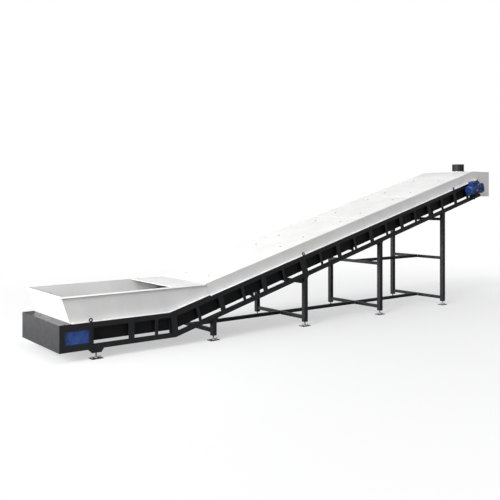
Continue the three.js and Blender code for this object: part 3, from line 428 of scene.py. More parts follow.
# A darker copy of the take-up cover's blue paint for the gearbox and motor: painted shade for the
# shade the drive sits in, as both wear the same blue paint.
SHADED_MOTOR_BLUE = cast_paint("shaded_motor_blue", (0.012, 0.045, 0.20), 0.32)
FOOT = footed_steel("footed_steel")
BLACK_OXIDE = moulded("black_oxide", (0.02, 0.02, 0.022), 0.42, 300)
FRAME_WELD = weld_metal("frame_weld", CHARCOAL)
WHITE_WELD = weld_metal("white_weld", WHITE_BEAD)


# ---------------------------------------------------------------- softened shading on the CAD nodes
MERGE_DISTANCE = 0.00002
SHARP_EDGE = math.radians(32)
DRIVE_NODES = ("gearbox", "motor_body", "terminal_box", "fan_cover")


def smoother():
    """Geometry nodes that join the CAD mesh's loose triangles and shade its round faces smooth."""
    tree = bpy.data.node_groups.new("smoother", "GeometryNodeTree")
    tree.interface.new_socket("Geometry", in_out="INPUT", socket_type="NodeSocketGeometry")
    tree.interface.new_socket("Geometry", in_out="OUTPUT", socket_type="NodeSocketGeometry")
    source = tree.nodes.new("NodeGroupInput").outputs[0]
    bare = node(tree, "GeometryNodeRemoveAttribute", Geometry=source, Name="custom_normal")
    merged = node(
        tree, "GeometryNodeMergeByDistance", Geometry=bare.outputs[0], Distance=MERGE_DISTANCE)
    angle = tree.nodes.new("GeometryNodeInputMeshEdgeAngle").outputs[0]
    sharp = node(tree, "FunctionNodeCompare", {"data_type": "FLOAT", "operation": "GREATER_THAN"})
    feed(tree, sharp.inputs[0], angle)
    feed(tree, sharp.inputs[1], SHARP_EDGE)
    faces = node(tree, "GeometryNodeSetShadeSmooth", {"domain": "FACE"}, Shade_Smooth=True)
    feed(tree, faces.inputs[0], merged.outputs[0])
    lines = node(tree, "GeometryNodeSetShadeSmooth", {"domain": "EDGE"}, Shade_Smooth=False)
    feed(tree, lines.inputs[0], faces.outputs[0])
    connect(tree, lines, Selection=sharp.outputs[0])
    feed(tree, tree.nodes.new("NodeGroupOutput").inputs[0], lines.outputs[0])
    return tree


def finish_of(name, slot):
    if name.startswith("levelling_foot"):
        return FOOT
    # The drive's nodes take the darker copy of the blue paint, which is painted shade.
    return SHADED_MOTOR_BLUE if name in DRIVE_NODES else LOOKS[slot]


def dress_cad_nodes():
    softening = smoother()
    for entry in frame["record"]["subparts"]:
        thing = frame["nodes"][entry["node"]]
        thing.data.materials.clear()
        thing.data.materials.append(finish_of(entry["node"], entry["material_slot"]))
        thing.modifiers.new("smoother", "NODES").node_group = softening


dress_cad_nodes()


# ---------------------------------------------------------------- shapes
def put(name, data):
    """A new object of that name in the scene, showing the data."""
    made = bpy.data.objects.new(name, data)
    bpy.context.scene.collection.objects.link(made)
    return made


def aim(point, direction, turn=0.0):
    """A matrix whose Z axis points along direction."""
    turned = direction.to_track_quat("Z", "Y").to_matrix().to_4x4()
    return Matrix.Translation(point) @ turned @ Matrix.Rotation(turn, 4, "Z")


def circle(bm, place, radius, height, sides):
    """Vertices round the place's Z axis, at a height along it."""
    angles = [math.tau * i / sides for i in range(sides)]
    return [
        bm.verts.new(place @ Vector((radius * math.cos(a), radius * math.sin(a), height)))
        for a in angles
    ]


def skin(bm, loops, closed=False):
    """Quads from each loop of vertices to the next, and from the last to the first if closed."""
    following = [*loops[1:], loops[0]] if closed else loops[1:]
    for low, high in zip(loops, following):
        for k in range(len(low)):
            m = (k + 1) % len(low)
            bm.faces.new([low[k], low[m], high[m], high[k]])


def lathe(bm, place, profile, sides):
    """A closed solid turned about the place's Z axis from (radius, height) points."""
    rings = []
    for radius, height in profile:
        if radius:
            rings.append(circle(bm, place, radius, height, sides))
        else:
            rings.append([bm.verts.new(place @ Vector((0, 0, height)))])
    for low, high in zip(rings, rings[1:]):
        for i in range(sides):
            j = (i + 1) % sides
            picks = ((low, i), (low, j), (high, j), (high, i))
            corners = [loop[k % len(loop)] for loop, k in picks]
            bm.faces.new(list(dict.fromkeys(corners)))


def ring(bm, place, radius, section, sides=40, around=8):
    """A closed torus about the place's Z axis."""
    loops = []
    for i in range(sides):
        a = math.tau * i / sides
        out = Vector((math.cos(a), math.sin(a), 0))
        loop = []
        for k in range(around):
            b = math.tau * k / around
            point = out * (radius + section * math.cos(b)) + Z * section * math.sin(b)
            loop.append(bm.verts.new(place @ point))
        loops.append(loop)
    skin(bm, loops, closed=True)


def bolt(bm, point, direction, size):
    """Washer and chamfered hexagon head; size is the thread's diameter."""
    turn = random.uniform(0, math.pi)
    place = aim(point, direction, turn)
    sunk = -0.001
    thick = 0.2 * size
    rim = 1.12 * size
    washer = [(0, sunk), (rim, sunk), (rim, thick * 0.7), (rim * 0.94, thick), (0, thick)]
    lathe(bm, place, washer, 14)
    across, top = 0.94 * size, thick + 0.66 * size
    head = [(0, thick), (across, thick), (across, top - 0.1 * size), (0.8 * size, top), (0, top)]
    lathe(bm, place, head, 6)


def screw(bm, point, direction, size):
    """Domed pan head; size is the head's diameter."""
    r, sunk = size / 2, -0.0005
    rim = [(0, sunk), (r, sunk), (r, 0.12 * size)]
    dome = [(0.86 * r, 0.26 * size), (0.5 * r, 0.35 * size), (0, 0.37 * size)]
    lathe(bm, aim(point, direction), [*rim, *dome], 12)


def slab(bm, centre, axes, sizes, bevel):
    """A box on three given axes, with rounded edges."""
    made = bmesh.ops.create_cube(bm, size=1)
    turn = Matrix([axis.normalized() for axis in axes]).transposed()
    for vert in made["verts"]:
        vert.co = centre + turn @ Vector([c * s for c, s in zip(vert.co, sizes)])
    rims = list(dict.fromkeys(edge for vert in made["verts"] for edge in vert.link_edges))
    bmesh.ops.bevel(bm, geom=rims, offset=bevel, segments=2, profile=0.6, affect="EDGES")


def tube(bm, points, radii, sides=6):
    """A closed bar through the points, with a radius at each."""
    rings = []
    for i, (point, radius) in enumerate(zip(points, radii)):
        ahead = points[min(i + 1, len(points) - 1)] - points[max(i - 1, 0)]
        rings.append(circle(bm, aim(point, ahead), radius, 0, sides))
    skin(bm, rings)
    bm.faces.new(rings[0])
    bm.faces.new(rings[-1])


def stops(begin, end, spacing, fewest):
    """Evenly spaced points from begin to end, both included."""
    steps = max(fewest, int((end - begin).length / spacing))
    return [begin.lerp(end, i / steps) for i in range(steps + 1)]


def bead(bm, begin, end, radius):
    """A rippled weld bead between two points."""
    points = stops(begin, end, 0.007, 4)
    swell = [1.0 if i % 2 else 0.82 for i in range(len(points))]
    radii = [radius * s * random.uniform(0.92, 1.06) for s in swell]
    radii[0] = radii[-1] = radius * 0.4
    tube(bm, points, radii)


def bead_line(bm, begin, end, radius):
    """A long bead of sealant between two points, a little uneven."""
    points = stops(begin, end, 0.12, 3)
    tube(bm, points, [radius * random.uniform(0.85, 1.1) for _ in points])


def piece(name, draw, look, body="frame", smooth=35):
    """Builds one named piece with draw(bm), gives it a material and rides it on a body."""
    bm = bmesh.new()
    draw(bm)
    bmesh.ops.recalc_face_normals(bm, faces=bm.faces)
    data = bpy.data.meshes.new(name)
    bm.to_mesh(data)
    bm.free()
    data.materials.append(look)
    data.shade_smooth()
    data.set_sharp_from_angle(angle=math.radians(smooth))
    made = put(name, data)
    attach(made, body)


def painted(name, draw, slot, body="frame"):
    """A piece in the look that its material slot is named after."""
    piece(name, draw, LOOKS[slot], body=body)


def welds(name, draw, look):
    """A piece of round beads, shaded smooth all round."""
    piece(name, draw, look, smooth=60)


# ---------------------------------------------------------------- side frames
def post_places():
    """(s, width, proud) of every post on the incline beyond the splice."""
    wide = [POST_FIRST_S + k * POST_PITCH for k in range(WIDE_POSTS)]
    narrow = [s + POST_PITCH / 2 for s in wide] + [LAST_POST_S]
    return [(s, WIDE_POST, True) for s in wide] + [(s, NARROW_POST, False) for s in narrow]


def frame_welds(side):
    """Beads along the posts' ends, and down the edges of the wide posts, which stand proud."""
    face = side * (FRAME_HALF + 0.0005)
    proud = side * (FRAME_HALF + POST_PROUD * 0.5)
    lower, upper = WINDOW_H
    plate_h = (POST_MARGIN, FRAME_HEIGHT - POST_MARGIN)
    tail_plate_x, tail_plate_h = (0.085, 0.470), (0.1, 0.3)

    def draw(bm):
        for s, width, is_proud in post_places():
            low, high = plate_h if is_proud else WINDOW_H
            y = proud if is_proud else face
            for h in (low, high):
                bead(bm, up(s - width / 2, y, h), up(s + width / 2, y, h), FILLET)
            if is_proud:
                for edge in (s - width / 2, s + width / 2):
                    bead(bm, up(edge, y, low), up(edge, y, lower), FINE_FILLET)
                    bead(bm, up(edge, y, upper), up(edge, y, high), FINE_FILLET)
        for x, width in LEVEL_POSTS:
            for h in WINDOW_H:
                bead(bm, flat(x - width / 2, face, h), flat(x + width / 2, face, h), FILLET)
        for x in tail_plate_x:
            low, high = (flat(x, face, h) for h in tail_plate_h)
            bead(bm, low, high, FINE_FILLET)
    return draw


def splice_bolts(side):
    y = side * (FRAME_HALF + POST_PROUD)

    def draw(bm):
        for h in (0.024, 0.046, 0.344, 0.376):
            for offset in (-0.085, -0.035, 0.035, 0.085):
                bolt(bm, up(SPLICE_S + offset, y, h), side * Y, M12)
    return draw


def sheet_rivets(side):
    """Blind rivets that hold the side sheet to the chords, seen between the posts."""
    rows_h = (0.130, 0.306)
    incline_count, first_s, pitch_s = 34, 0.92, 0.2277
    level_count, first_x, pitch_x = 6, 0.60, 0.22

    def draw(bm):
        places = [(up, first_s + k * pitch_s) for k in range(incline_count)]
        places += [(flat, first_x + k * pitch_x) for k in range(level_count)]
        for place, along in places:
            for h in rows_h:
                screw(bm, place(along, side * SHEET_Y, h), side * Y, SMALL_SCREW)
    return draw


for label, side in SIDES.items():
    welds(f"frame_welds_{label}", frame_welds(side), FRAME_WELD)
    painted(f"splice_bolts_{label}", splice_bolts(side), "frame_paint")
    painted(f"sheet_rivets_{label}", sheet_rivets(side), "dark_sheet")


# ---------------------------------------------------------------- tail
def tail_screws(bm):
    for y in (-0.715, -0.24, 0.24, 0.715):
        screw(bm, flat(0.095, y, FRAME_HEIGHT + 0.004), Z, TAIL_SCREW)


def tail_welds(bm):
    """Beads down the tail's corners and along its lower edge."""
    radius, margin, lower_edge_h = 0.0034, 0.004, 0.002
    for side in (NEAR, FAR):
        y = side * (FRAME_HALF - 0.001)
        low, high = (flat(TAIL_FACE_X, y, h) for h in (margin, FRAME_HEIGHT - margin))
        bead(bm, low, high, radius)
    near, far = (flat(TAIL_FACE_X, y, lower_edge_h) for y in (-FRAME_HALF, FRAME_HALF))
    bead(bm, near, far, radius)


def takeup_cover_screws(side):
    def draw(bm):
        for x in (0.100, 0.278, 0.455):
            for h in (0.113, 0.287):
                screw(bm, flat(x, side * COVER_Y, h), side * Y, COVER_SCREW)
    return draw


def takeup_cover_swage(side):
    """Pressed rib on the take-up cover, a rounded rectangle that stiffens the sheet."""
    rear, front, low, high = 0.135, 0.420, 0.145, 0.255
    rounding, section, corner_steps, sides = 0.02, 0.003, 5, 6
    inward = ((1, 1), (-1, 1), (-1, -1), (1, -1))
    corners = ((rear, low), (front, low), (front, high), (rear, high))

    def draw(bm):
        outline = []
        for i, ((x, h), (way_x, way_h)) in enumerate(zip(corners, inward)):
            for k in range(corner_steps):
                a = math.pi + math.pi / 2 * (i + k / (corner_steps - 1))
                turn_x = x + way_x * rounding + rounding * math.cos(a)
                turn_h = h + way_h * rounding + rounding * math.sin(a)
                outline.append(flat(turn_x, side * COVER_Y, turn_h))
        loops = []
        for i, point in enumerate(outline):
            ahead = outline[(i + 1) % len(outline)] - outline[i - 1]
            loops.append(circle(bm, aim(point, ahead), section, 0, sides))
        skin(bm, loops, closed=True)
    return draw


painted("tail_screws", tail_screws, "frame_paint")
welds("tail_welds", tail_welds, FRAME_WELD)
for label, side in SIDES.items():
    painted(f"takeup_cover_screws_{label}", takeup_cover_screws(side), "blue_paint")
    swage = takeup_cover_swage(side)
    welds(f"takeup_cover_swage_{label}", swage, LOOKS["blue_paint"])


def bearing_bolts(place, direction, half, flange_y, nipple_y):
    """Four bolts and a grease nipple on a square flange bearing."""
    nipple_h = 0.041
    nipple = [(0, 0), (0.004, 0), (0.004, 0.006), (0.0026, 0.008), (0.0034, 0.011), (0, 0.013)]

    def draw(bm):
        for a in (-half, half):
            for b in (-half, half):
                bolt(bm, place(a, flange_y, b), direction, M12)
        lathe(bm, aim(place(0, nipple_y, nipple_h), direction), nipple, 8)
    return draw


for label, side in SIDES.items():
    def head_place(a, y, b, side=side):
        return drive(a, side * y, b)

    def tail_place(a, y, b, side=side):
        return flat(TAIL_DRUM_X + a, side * y, DRUM_H + b)

    head = bearing_bolts(head_place, side * Y, half=0.05, flange_y=0.7263, nipple_y=0.7463)
    tail = bearing_bolts(tail_place, side * Y, half=0.045, flange_y=0.718, nipple_y=0.723)
    painted(f"head_bearing_bolts_{label}", head, "foot_steel")
    painted(f"tail_bearing_bolts_{label}", tail, "foot_steel", body="takeup_carriage")


# ---------------------------------------------------------------- hopper
def hopper_bolts(side):
    """Bolts through the flange at the hopper's foot, on the level chord and up the incline."""
    y = side * FLANGE_Y
    count, first_x, pitch, level_h, incline_h = 9, 0.26, 0.195, 0.4045, 0.4225

    def draw(bm):
        for k in range(count):
            bolt(bm, flat(first_x + k * pitch, y, level_h), Z, M8)
        for s in (0.16, 0.36, 0.56, 0.74):
            bolt(bm, up(s, y, incline_h), SQUARE, M8)
    return draw


def hopper_welds(bm):
    for side in (NEAR, FAR):
        y = side * (HOOD_HALF - 0.002)
        foot = flat(HOPPER_BASE_X + 0.001, y, FRAME_HEIGHT + 0.004)
        rim = flat(RIM_X + 0.001, y, RIM_H - 0.006)
        bead(bm, foot, rim, FINE_FILLET)


def deck_screws(bm):
    """Screws down both sides of the deck and across its front."""
    count, first_x, pitch, side_y, front_x = 5, 2.02, 0.11, 0.66, 2.50
    for k in range(count):
        for y in (-side_y, side_y):
            screw(bm, flat(first_x + k * pitch, y, RIM_H), Z, SHEET_SCREW)
    for y in (-0.44, -0.22, 0, 0.22, 0.44):
        screw(bm, flat(front_x, y, RIM_H), Z, SHEET_SCREW)


def skirt_rubber(side):
    """Rubber sealing strip clamped inside the skirt board, down to the belt."""
    inner, outer = side * (SKIRT_INNER - 0.0085), side * (SKIRT_INNER - 0.0005)
    low, high = CARRY_H + 0.0008, CARRY_H + 0.052
    section = ((inner, low), (outer, low), (outer, high), (inner, high))
    end_s = HEAD_S - 0.085

    def knee_s(h):
        return (h - h * math.cos(INCLINE)) / math.sin(INCLINE)

    def draw(bm):
        stations = [
            [flat(SKIRT_START_X, y, h) for y, h in section],
            [up(knee_s(h), y, h) for y, h in section],
            [up(end_s, y, h) for y, h in section],
        ]
        loops = [[bm.verts.new(corner) for corner in station] for station in stations]
        skin(bm, loops)
        bm.faces.new(loops[0])
        bm.faces.new(loops[-1])
    return draw


def skirt_clamps(side):
    """Flat bars and bolts that press the rubber strip against the skirt board."""
    y = side * (SKIRT_INNER - 0.0105)
    bolt_y = y - side * 0.002
    h = CARRY_H + 0.038
    thick, height, bevel = 0.004, 0.022, 0.0008
    level_count, first_x, pitch_x, level_bar = 3, 0.53, 0.52, 0.50
    incline_count, first_s, pitch_s, incline_bar = 13, 0.42, 0.62, 0.60

    def draw(bm):
        for k in range(level_count):
            x = first_x + k * pitch_x
            slab(bm, flat(x, y, h), (X, Y, Z), (level_bar, thick, height), bevel)
            for offset in (-0.2, 0, 0.2):
                bolt(bm, flat(x + offset, bolt_y, h), -side * Y, M6)
        for k in range(incline_count):
            s = first_s + k * pitch_s
            slab(bm, up(s, y, h), (UPWARD, Y, SQUARE), (incline_bar, thick, height), bevel)
            for offset in (-0.22, 0.22):
                bolt(bm, up(s + offset, bolt_y, h), -side * Y, M6)
    return draw


welds("hopper_welds", hopper_welds, WHITE_WELD)
painted("deck_screws", deck_screws, "foot_steel")
for label, side in SIDES.items():
    painted(f"hopper_bolts_{label}", hopper_bolts(side), "foot_steel")
    painted(f"skirt_rubber_{label}", skirt_rubber(side), "wheel_rubber")
    painted(f"skirt_clamps_{label}", skirt_clamps(side), "zinc_sheet")


# ---------------------------------------------------------------- hood
def hood_screws(bm):
    """Screws on both sides of each seam, across the roof and down the sides."""
    beside_seam = 0.022
    side_y = HOOD_HALF - 0.0005
    for seam in HOOD_SEAMS_S:
        for s in (seam - beside_seam, seam + beside_seam):
            for y in (-0.62, -0.31, 0, 0.31, 0.62):
                screw(bm, up(s, y, HOOD_H), SQUARE, SHEET_SCREW)
            for side in (NEAR, FAR):
                for h in (0.45, 0.56):
                    screw(bm, up(s, side * side_y, h), side * Y, SHEET_SCREW)


def hood_foot_bolts(side):
    count, first, pitch, h = 19, 0.12, 0.41, 0.4035

    def draw(bm):
        for k in range(count):
            bolt(bm, up(HOOD_START_S + first + k * pitch, side * FLANGE_Y, h), SQUARE, M8)
    return draw


def roof_plugs(bm):
    """Round plugs over the four holes that each hood section is lifted by."""
    r = 0.017
    cap = [(0, -0.001), (r, -0.001), (r, 0.0015), (r * 0.8, 0.004), (r * 0.3, 0.005), (0, 0.005)]
    bounds = [HOOD_START_S, *HOOD_SEAMS_S]
    for begin, end in zip(bounds, bounds[1:]):
        for s in (begin + PLUG_INSET, end - PLUG_INSET):
            for y in (-PLUG_Y, PLUG_Y):
                lathe(bm, aim(up(s, y, HOOD_H), SQUARE), cap, 16)


def seam_sealant(bm):
    """A thin bead of sealant over each seam, up one side, across the roof and down the other."""
    proud = 0.0004
    foot_h, hopper_foot_h = 0.412, 0.436
    half, top = HOOD_HALF + proud, HOOD_H + proud
    for seam in HOOD_SEAMS_S:
        for side in (NEAR, FAR):
            bead_line(bm, up(seam, side * half, foot_h), up(seam, side * half, top), SEALANT)
        bead_line(bm, up(seam, -half, top), up(seam, half, top), SEALANT)
    rim = flat(0, 0, RIM_H + proud).z
    start_of_roof = up(HOOD_START_S, 0, HOOD_H)
    for side in (NEAR, FAR):
        low = up(HOOD_START_S, side * half, hopper_foot_h)
        bead_line(bm, low, Vector((start_of_roof.x, MID_Y + side * half, rim)), SEALANT)


def duct_beads(bm):
    low, high = DUCT_BOX
    centre = (low + high) / 2
    for part in (0.34, 0.66):
        z = low.z + part * (high.z - low.z)
        ring(bm, Matrix.Translation((centre.x, centre.y, z)), DUCT_RADIUS + 0.0005, 0.003)


def duct_bolts(bm):
    low, high = DUCT_BOX
    centre = (low + high) / 2
    count, reach = 8, DUCT_RADIUS + 0.018
    for i in range(count):
        a = math.tau * (i + 0.5) / count
        at = Vector((centre.x + reach * math.cos(a), centre.y + reach * math.sin(a), low.z))
        bolt(bm, at, Z, M6)


painted("hood_screws", hood_screws, "foot_steel")
painted("roof_plugs", roof_plugs, "fan_plastic")
welds("seam_sealant", seam_sealant, WHITE_WELD)
for label, side in SIDES.items():
    painted(f"hood_foot_bolts_{label}", hood_foot_bolts(side), "foot_steel")
welds("duct_beads", duct_beads, LOOKS["duct_paint"])
painted("duct_bolts", duct_bolts, "foot_steel")


# ---------------------------------------------------------------- drive
def around_motor(x, radius, angle):
    """A place round the motor's axis; angle 0 points away from the frame."""
    return drive(x, DRIVE_Y - radius * math.cos(angle), MOTOR_RISE + radius * math.sin(angle))


def corners_of_four():
    """Angles round the motor, half way between its four sides."""
    return [math.tau * (i + 0.5) / 4 for i in range(4)]


def flange_bolts(bm):
    flange_x, reach = -0.146, 0.106
    for a in corners_of_four():
        bolt(bm, around_motor(flange_x, reach, a), -UPWARD, M10)


def gearbox_bolts(bm):
    y = DRIVE_Y - GEARBOX_HALF
    for x, z in ((-0.075, -0.06), (-0.075, 0.09), (0.03, 0.09), (0.05, -0.055), (-0.03, -0.085)):
        bolt(bm, drive(x, y, z), -Y, M8)


def shaft_cap(bm):
    """Dished cap over the end of the hollow shaft."""
    y = DRIVE_Y - GEARBOX_HALF - 0.010
    r, screw_reach = 0.040, 0.032
    dish = [(0, -0.004), (r, -0.004), (r, 0.003), (0.9 * r, 0.006), (0.55 * r, 0.0075), (0, 0.008)]
    lathe(bm, aim(drive(0, y, 0), -Y), dish, 24)
    for i in range(3):
        a = math.tau * i / 3
        at = drive(screw_reach * math.cos(a), y - 0.0055, screw_reach * math.sin(a))
        screw(bm, at, -Y, CAP_SCREW)


def breather(bm):
    """Vented filler cap on the gearbox's roof: hexagon, ribbed skirt and domed hood."""
    place = aim(drive(-0.035, DRIVE_Y, 0.111), SQUARE)
    lathe(bm, place, [(0, 0), (0.019, 0), (0.019, 0.012), (0, 0.012)], 6)
    skirt = [(0, 0.012), (0.017, 0.012), (0.017, 0.022)]
    for k in range(3):
        z = 0.022 + k * 0.007
        skirt += [(0.024, z), (0.024, z + 0.004), (0.020, z + 0.005)]
    lathe(bm, place, [*skirt, (0.018, 0.050), (0.010, 0.055), (0, 0.056)], 20)


def cable_gland(bm):
    """Gland on the terminal box's outer side: hexagon and domed nut."""
    place = aim(drive(-0.265, DRIVE_Y - 0.084, MOTOR_RISE + 0.137), -Y)
    lathe(bm, place, [(0, -0.002), (0.016, -0.002), (0.016, 0.010), (0.0145, 0.012), (0, 0.012)], 6)
    dome = [(0.0125, 0.012), (0.0125, 0.022), (0.010, 0.028), (0.0065, 0.030)]
    lathe(bm, place, [(0, 0.012), *dome, (0, 0.030)], 16)


def lid_screws(bm):
    lid_z = MOTOR_RISE + 0.1753
    for x in (-0.322, -0.208):
        for y in (-0.052, 0.052):
            screw(bm, drive(x, DRIVE_Y + y, lid_z), SQUARE, SMALL_SCREW)


def fan_cover_screws(bm):
    x, reach = MOTOR_BACK + 0.006, 0.1075
    for a in corners_of_four():
        outward = around_motor(x, 1, a) - around_motor(x, 0, a)
        screw(bm, around_motor(x, reach, a), outward, SMALL_SCREW)


def rating_plate(bm):
    """Blank riveted plate on the motor's side."""
    plate_x, plate_angle = -0.280, -0.25
    length, height, thick = 0.070, 0.040, 0.0012
    at = around_motor(plate_x, MOTOR_RADIUS + 0.0125, plate_angle)
    outward = at - around_motor(plate_x, 0, 0)
    tangent = UPWARD.cross(outward)
    slab(bm, at, (UPWARD, tangent, outward), (length, height, thick), 0.0004)
    for a in (-0.031, 0.031):
        for b in (-0.016, 0.016):
            corner = at + a * UPWARD + b * tangent.normalized() + thick / 2 * outward.normalized()
            screw(bm, corner, outward, PLATE_RIVET)


painted("flange_bolts", flange_bolts, "foot_steel")
painted("gearbox_bolts", gearbox_bolts, "foot_steel")
painted("shaft_cap", shaft_cap, "fan_plastic")
painted("breather", breather, "fan_plastic")
painted("cable_gland", cable_gland, "fan_plastic")
painted("lid_screws", lid_screws, "foot_steel")
painted("fan_cover_screws", fan_cover_screws, "foot_steel")
painted("rating_plate", rating_plate, "foot_steel")


# ---------------------------------------------------------------- supports
def tie_ends(beyond):
    """(place, way) past both ends of every long tie, beyond the faces of the cross tubes."""
    for first, last, z in TIES:
        for trestle, way in ((first, 1), (last, -1)):
            x = TRESTLE_X[trestle] + way * (TIE / 2 + beyond)
            yield Vector((TAIL_X + x, MID_Y, z)), way


def tie_plates(bm):
    """Bolted end plates that join the long ties to the trestles' cross tubes."""
    for at, _ in tie_ends(0.0033):
        slab(bm, at, (X, Y, Z), (0.006, 0.140, 0.058), 0.001)


def tie_bolts(bm):
    for at, way in tie_ends(0.0063):
        for y in (-0.05, 0.05):
            bolt(bm, Vector((at.x, MID_Y + y, at.z)), way * X, M10)


def trestle_welds(bm):
    """Beads where the cross tubes meet the legs and where the legs meet the lower chord."""
    for index, x in enumerate(TRESTLE_X):
        levels = [LOW_TIE_Z, MID_TIE_Z] if index >= 2 else [LOW_TIE_Z]
        for side in (NEAR, FAR):
            y = MID_Y + side * LEG_Y
            half = LEG / 2
            inner = y - side * half
            for z in levels:
                for dz in (-TIE / 2, TIE / 2):
                    at = Vector((TAIL_X + x, inner, z + dz))
                    bead(bm, at - X * TIE / 2, at + X * TIE / 2, FINE_FILLET)
            for way in (-1, 1):
                s = (x + way * half - KNEE_X) / math.cos(INCLINE)
                top = up(s, 0, -0.0015)
                begin = Vector((top.x, y - half, top.z))
                bead(bm, begin, begin + Y * LEG, FILLET)


def foot_thread(at):
    """The stud's thread above the lock nut, and the washer under it."""
    pitch, turns, root, crest, start_z = 0.0025, 17, 0.0094, 0.0104, 0.0515
    washer, washer_low, washer_high = 0.021, 0.034, 0.0365

    def draw(bm):
        place = Matrix.Translation(at)
        profile = [(0, start_z)]
        for k in range(turns):
            z = start_z + k * pitch
            profile += [(root, z), (crest, z + pitch / 2)]
        lathe(bm, place, [*profile, (0, profile[-1][1])], 16)
        ends = [(0, washer_low), (washer, washer_low), (washer, washer_high), (0, washer_high)]
        lathe(bm, place, ends, 20)
    return draw


def foot_anchors(at, reach):
    """Two anchor studs through the base plate, each with a washer, a nut and a bare end."""
    plate_top, r = 0.008, M14 / 2
    stud = [(0, 0.011), (r, 0.011), (r, 0.030), (0.0055, 0.032), (0, 0.032)]

    def draw(bm):
        for x in (-reach, reach):
            point = at + Vector((x, 0, plate_top))
            bolt(bm, point, Z, M14)
            lathe(bm, Matrix.Translation(point), stud, 12)
    return draw


painted("tie_plates", tie_plates, "frame_paint")
painted("tie_bolts", tie_bolts, "foot_steel")
welds("trestle_welds", trestle_welds, FRAME_WELD)
for name in frame["bodies"]:
    if not name.startswith("levelling_foot"):
        continue
    low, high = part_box(name)
    middle = Vector(((low.x + high.x) / 2, (low.y + high.y) / 2, low.z))
    tail = name.removeprefix("levelling_foot_")
    reach = (high.x - low.x) / 2 - 0.025
    piece(f"foot_thread_{tail}", foot_thread(middle), BLACK_OXIDE, body=name)
    painted(f"foot_anchors_{tail}", foot_anchors(middle, reach), "foot_steel", body=name)


# ---------------------------------------------------------------- stage
FLOOR_CENTRE_X = 5.3
FLOOR_RADIUS = 90
FLOOR_SPREAD = (9.0, 6.5)
KEY_TOWARD = Vector((-0.745, -0.287, 0.60))
PANEL_TARGET = Vector((TAIL_X + 2, MID_Y, 0.6))
CAMERA_PLACE = (TAIL_X - 3.86, MID_Y - 10.18, 2.40)
CAMERA_TURN = math.radians(-37.74)
CAMERA_LENS = 49.6
CAMERA_SHIFT = -0.1073


def floor():
    """A wide pale floor that glows white to the camera, half near its middle and fully far out:
    painted light that lightens the shadows on it and fades it into the background's white with
    distance.
    """
    bm = bmesh.new()
    bmesh.ops.create_circle(bm, cap_ends=True, radius=FLOOR_RADIUS, segments=96)
    data = bpy.data.meshes.new("floor")
    bm.to_mesh(data)
    bm.free()
    made = put("floor", data)
    made.location = (TAIL_X + FLOOR_CENTRE_X, MID_Y, -0.001)
    material, tree, coords, shader = start("floor")
    speck = noise(tree, coords, 40, 4)
    seen = tree.nodes.new("ShaderNodeLightPath").outputs["Is Camera Ray"]
    pale = blend(tree, speck, (0.86, 0.865, 0.87), (0.90, 0.90, 0.90))
    tone = blend(tree, seen, (0.2, 0.2, 0.2), pale)
    connect(tree, shader, Base_Color=tone, Roughness=0.55)
    spread = stretched(tree, coords, 1 / FLOOR_SPREAD[0], 1 / FLOOR_SPREAD[1], 0)
    away = maths(tree, "LENGTH", spread, kind="ShaderNodeVectorMath")
    # The glow is painted light: at least half white emission near the middle, which lightens the
    # shadows cast on the floor, rising to full white far out.
    painted_glow_share = product(tree, ramp(tree, away, 0.4, 1.6, 0.5, 1), seen)
    glow = node(tree, "ShaderNodeEmission", Color=(1, 1, 1), Strength=1.0)
    mixed = mix_shaders(tree, painted_glow_share, shader, glow)
    connect(tree, tree.nodes["Material Output"], Surface=mixed)
    data.materials.append(material)


def mix_shaders(tree, factor, a, b):
    """Shader a where factor is 0, shader b where it is 1."""
    mixed = tree.nodes.new("ShaderNodeMixShader")
    for socket, value in zip(mixed.inputs, (factor, a.outputs[0], b.outputs[0])):
        feed(tree, socket, value)
    return mixed.outputs[0]


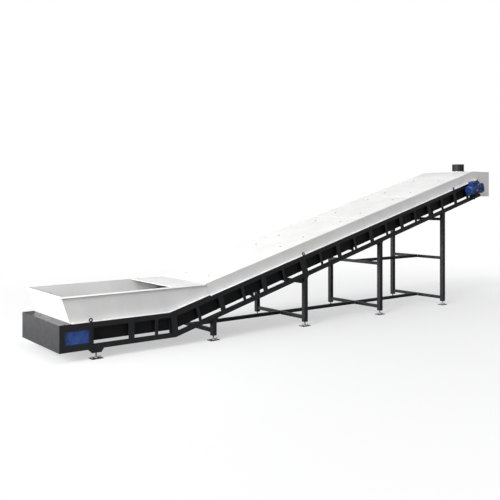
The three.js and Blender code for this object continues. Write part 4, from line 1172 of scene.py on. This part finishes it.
def studio():
    """A white backdrop for the camera, and a dome for the rest, brighter at the tail's end."""
    world = bpy.data.worlds.new("studio")
    world.use_nodes = True
    tree = world.node_tree
    backdrop = node(tree, "ShaderNodeBackground", Color=(1, 1, 1), Strength=1.0)
    toward = tree.nodes.new("ShaderNodeTexCoord").outputs["Generated"]
    parts = node(tree, "ShaderNodeSeparateXYZ", Vector=toward)
    height = ramp(tree, parts.outputs["Z"], -0.05, 0.3, 0.31, 1)
    tailward = ramp(tree, product(tree, parts.outputs["X"], -1), 0.3, 0.95, 0.42, 3.9)
    zenith = ramp(tree, parts.outputs["Z"], 0.4, 1.0, 1.0, 0.7)
    strength = product(tree, product(tree, height, tailward), zenith)
    dome = tree.nodes["Background"]
    connect(tree, dome, Color=(0.985, 0.99, 1.0), Strength=strength)
    seen = tree.nodes.new("ShaderNodeLightPath").outputs["Is Camera Ray"]
    connect(tree, tree.nodes["World Output"], Surface=mix_shaders(tree, seen, dome, backdrop))
    bpy.context.scene.world = world


def facing(made, direction):
    """Turns a lamp so that it shines from the direction."""
    made.rotation_euler = direction.to_track_quat("Z", "Y").to_euler()


def key_light():
    """A sun over the tail's near corner, for soft shadows."""
    sun = bpy.data.lights.new("key", "SUN")
    sun.energy = 0.85
    sun.angle = math.radians(9)
    sun.color = (1.0, 0.99, 0.97)
    facing(put("key", sun), KEY_TOWARD)


def softbox(name, size, energy, location):
    """A round panel of light, aimed at the hopper."""
    panel = bpy.data.lights.new(name, "AREA")
    panel.shape = "DISK"
    panel.size = size
    panel.energy = energy
    made = put(name, panel)
    made.location = location
    facing(made, made.location - PANEL_TARGET)


def camera():
    """Level camera off the tail's near corner; the shifted sensor keeps the uprights upright."""
    lens = bpy.data.cameras.new("camera")
    lens.sensor_width = 36
    lens.lens = CAMERA_LENS
    lens.shift_y = CAMERA_SHIFT
    lens.clip_end = 300
    made = put("camera", lens)
    made.location = CAMERA_PLACE
    made.rotation_euler = (math.radians(90), 0, CAMERA_TURN)
    bpy.context.scene.camera = made


floor()
studio()
key_light()
softbox("tail_panel", 3.0, 470, (TAIL_X - 9, MID_Y - 3.4, 4.2))
softbox("rear_panel", 2.5, 310, (TAIL_X - 4.5, MID_Y + 8, 1.6))
softbox("hopper_panel", 1.2, 37, (TAIL_X + 0.3, MID_Y - 1.0, 3.8))
camera()
bpy.context.scene.view_settings.view_transform = "Standard"
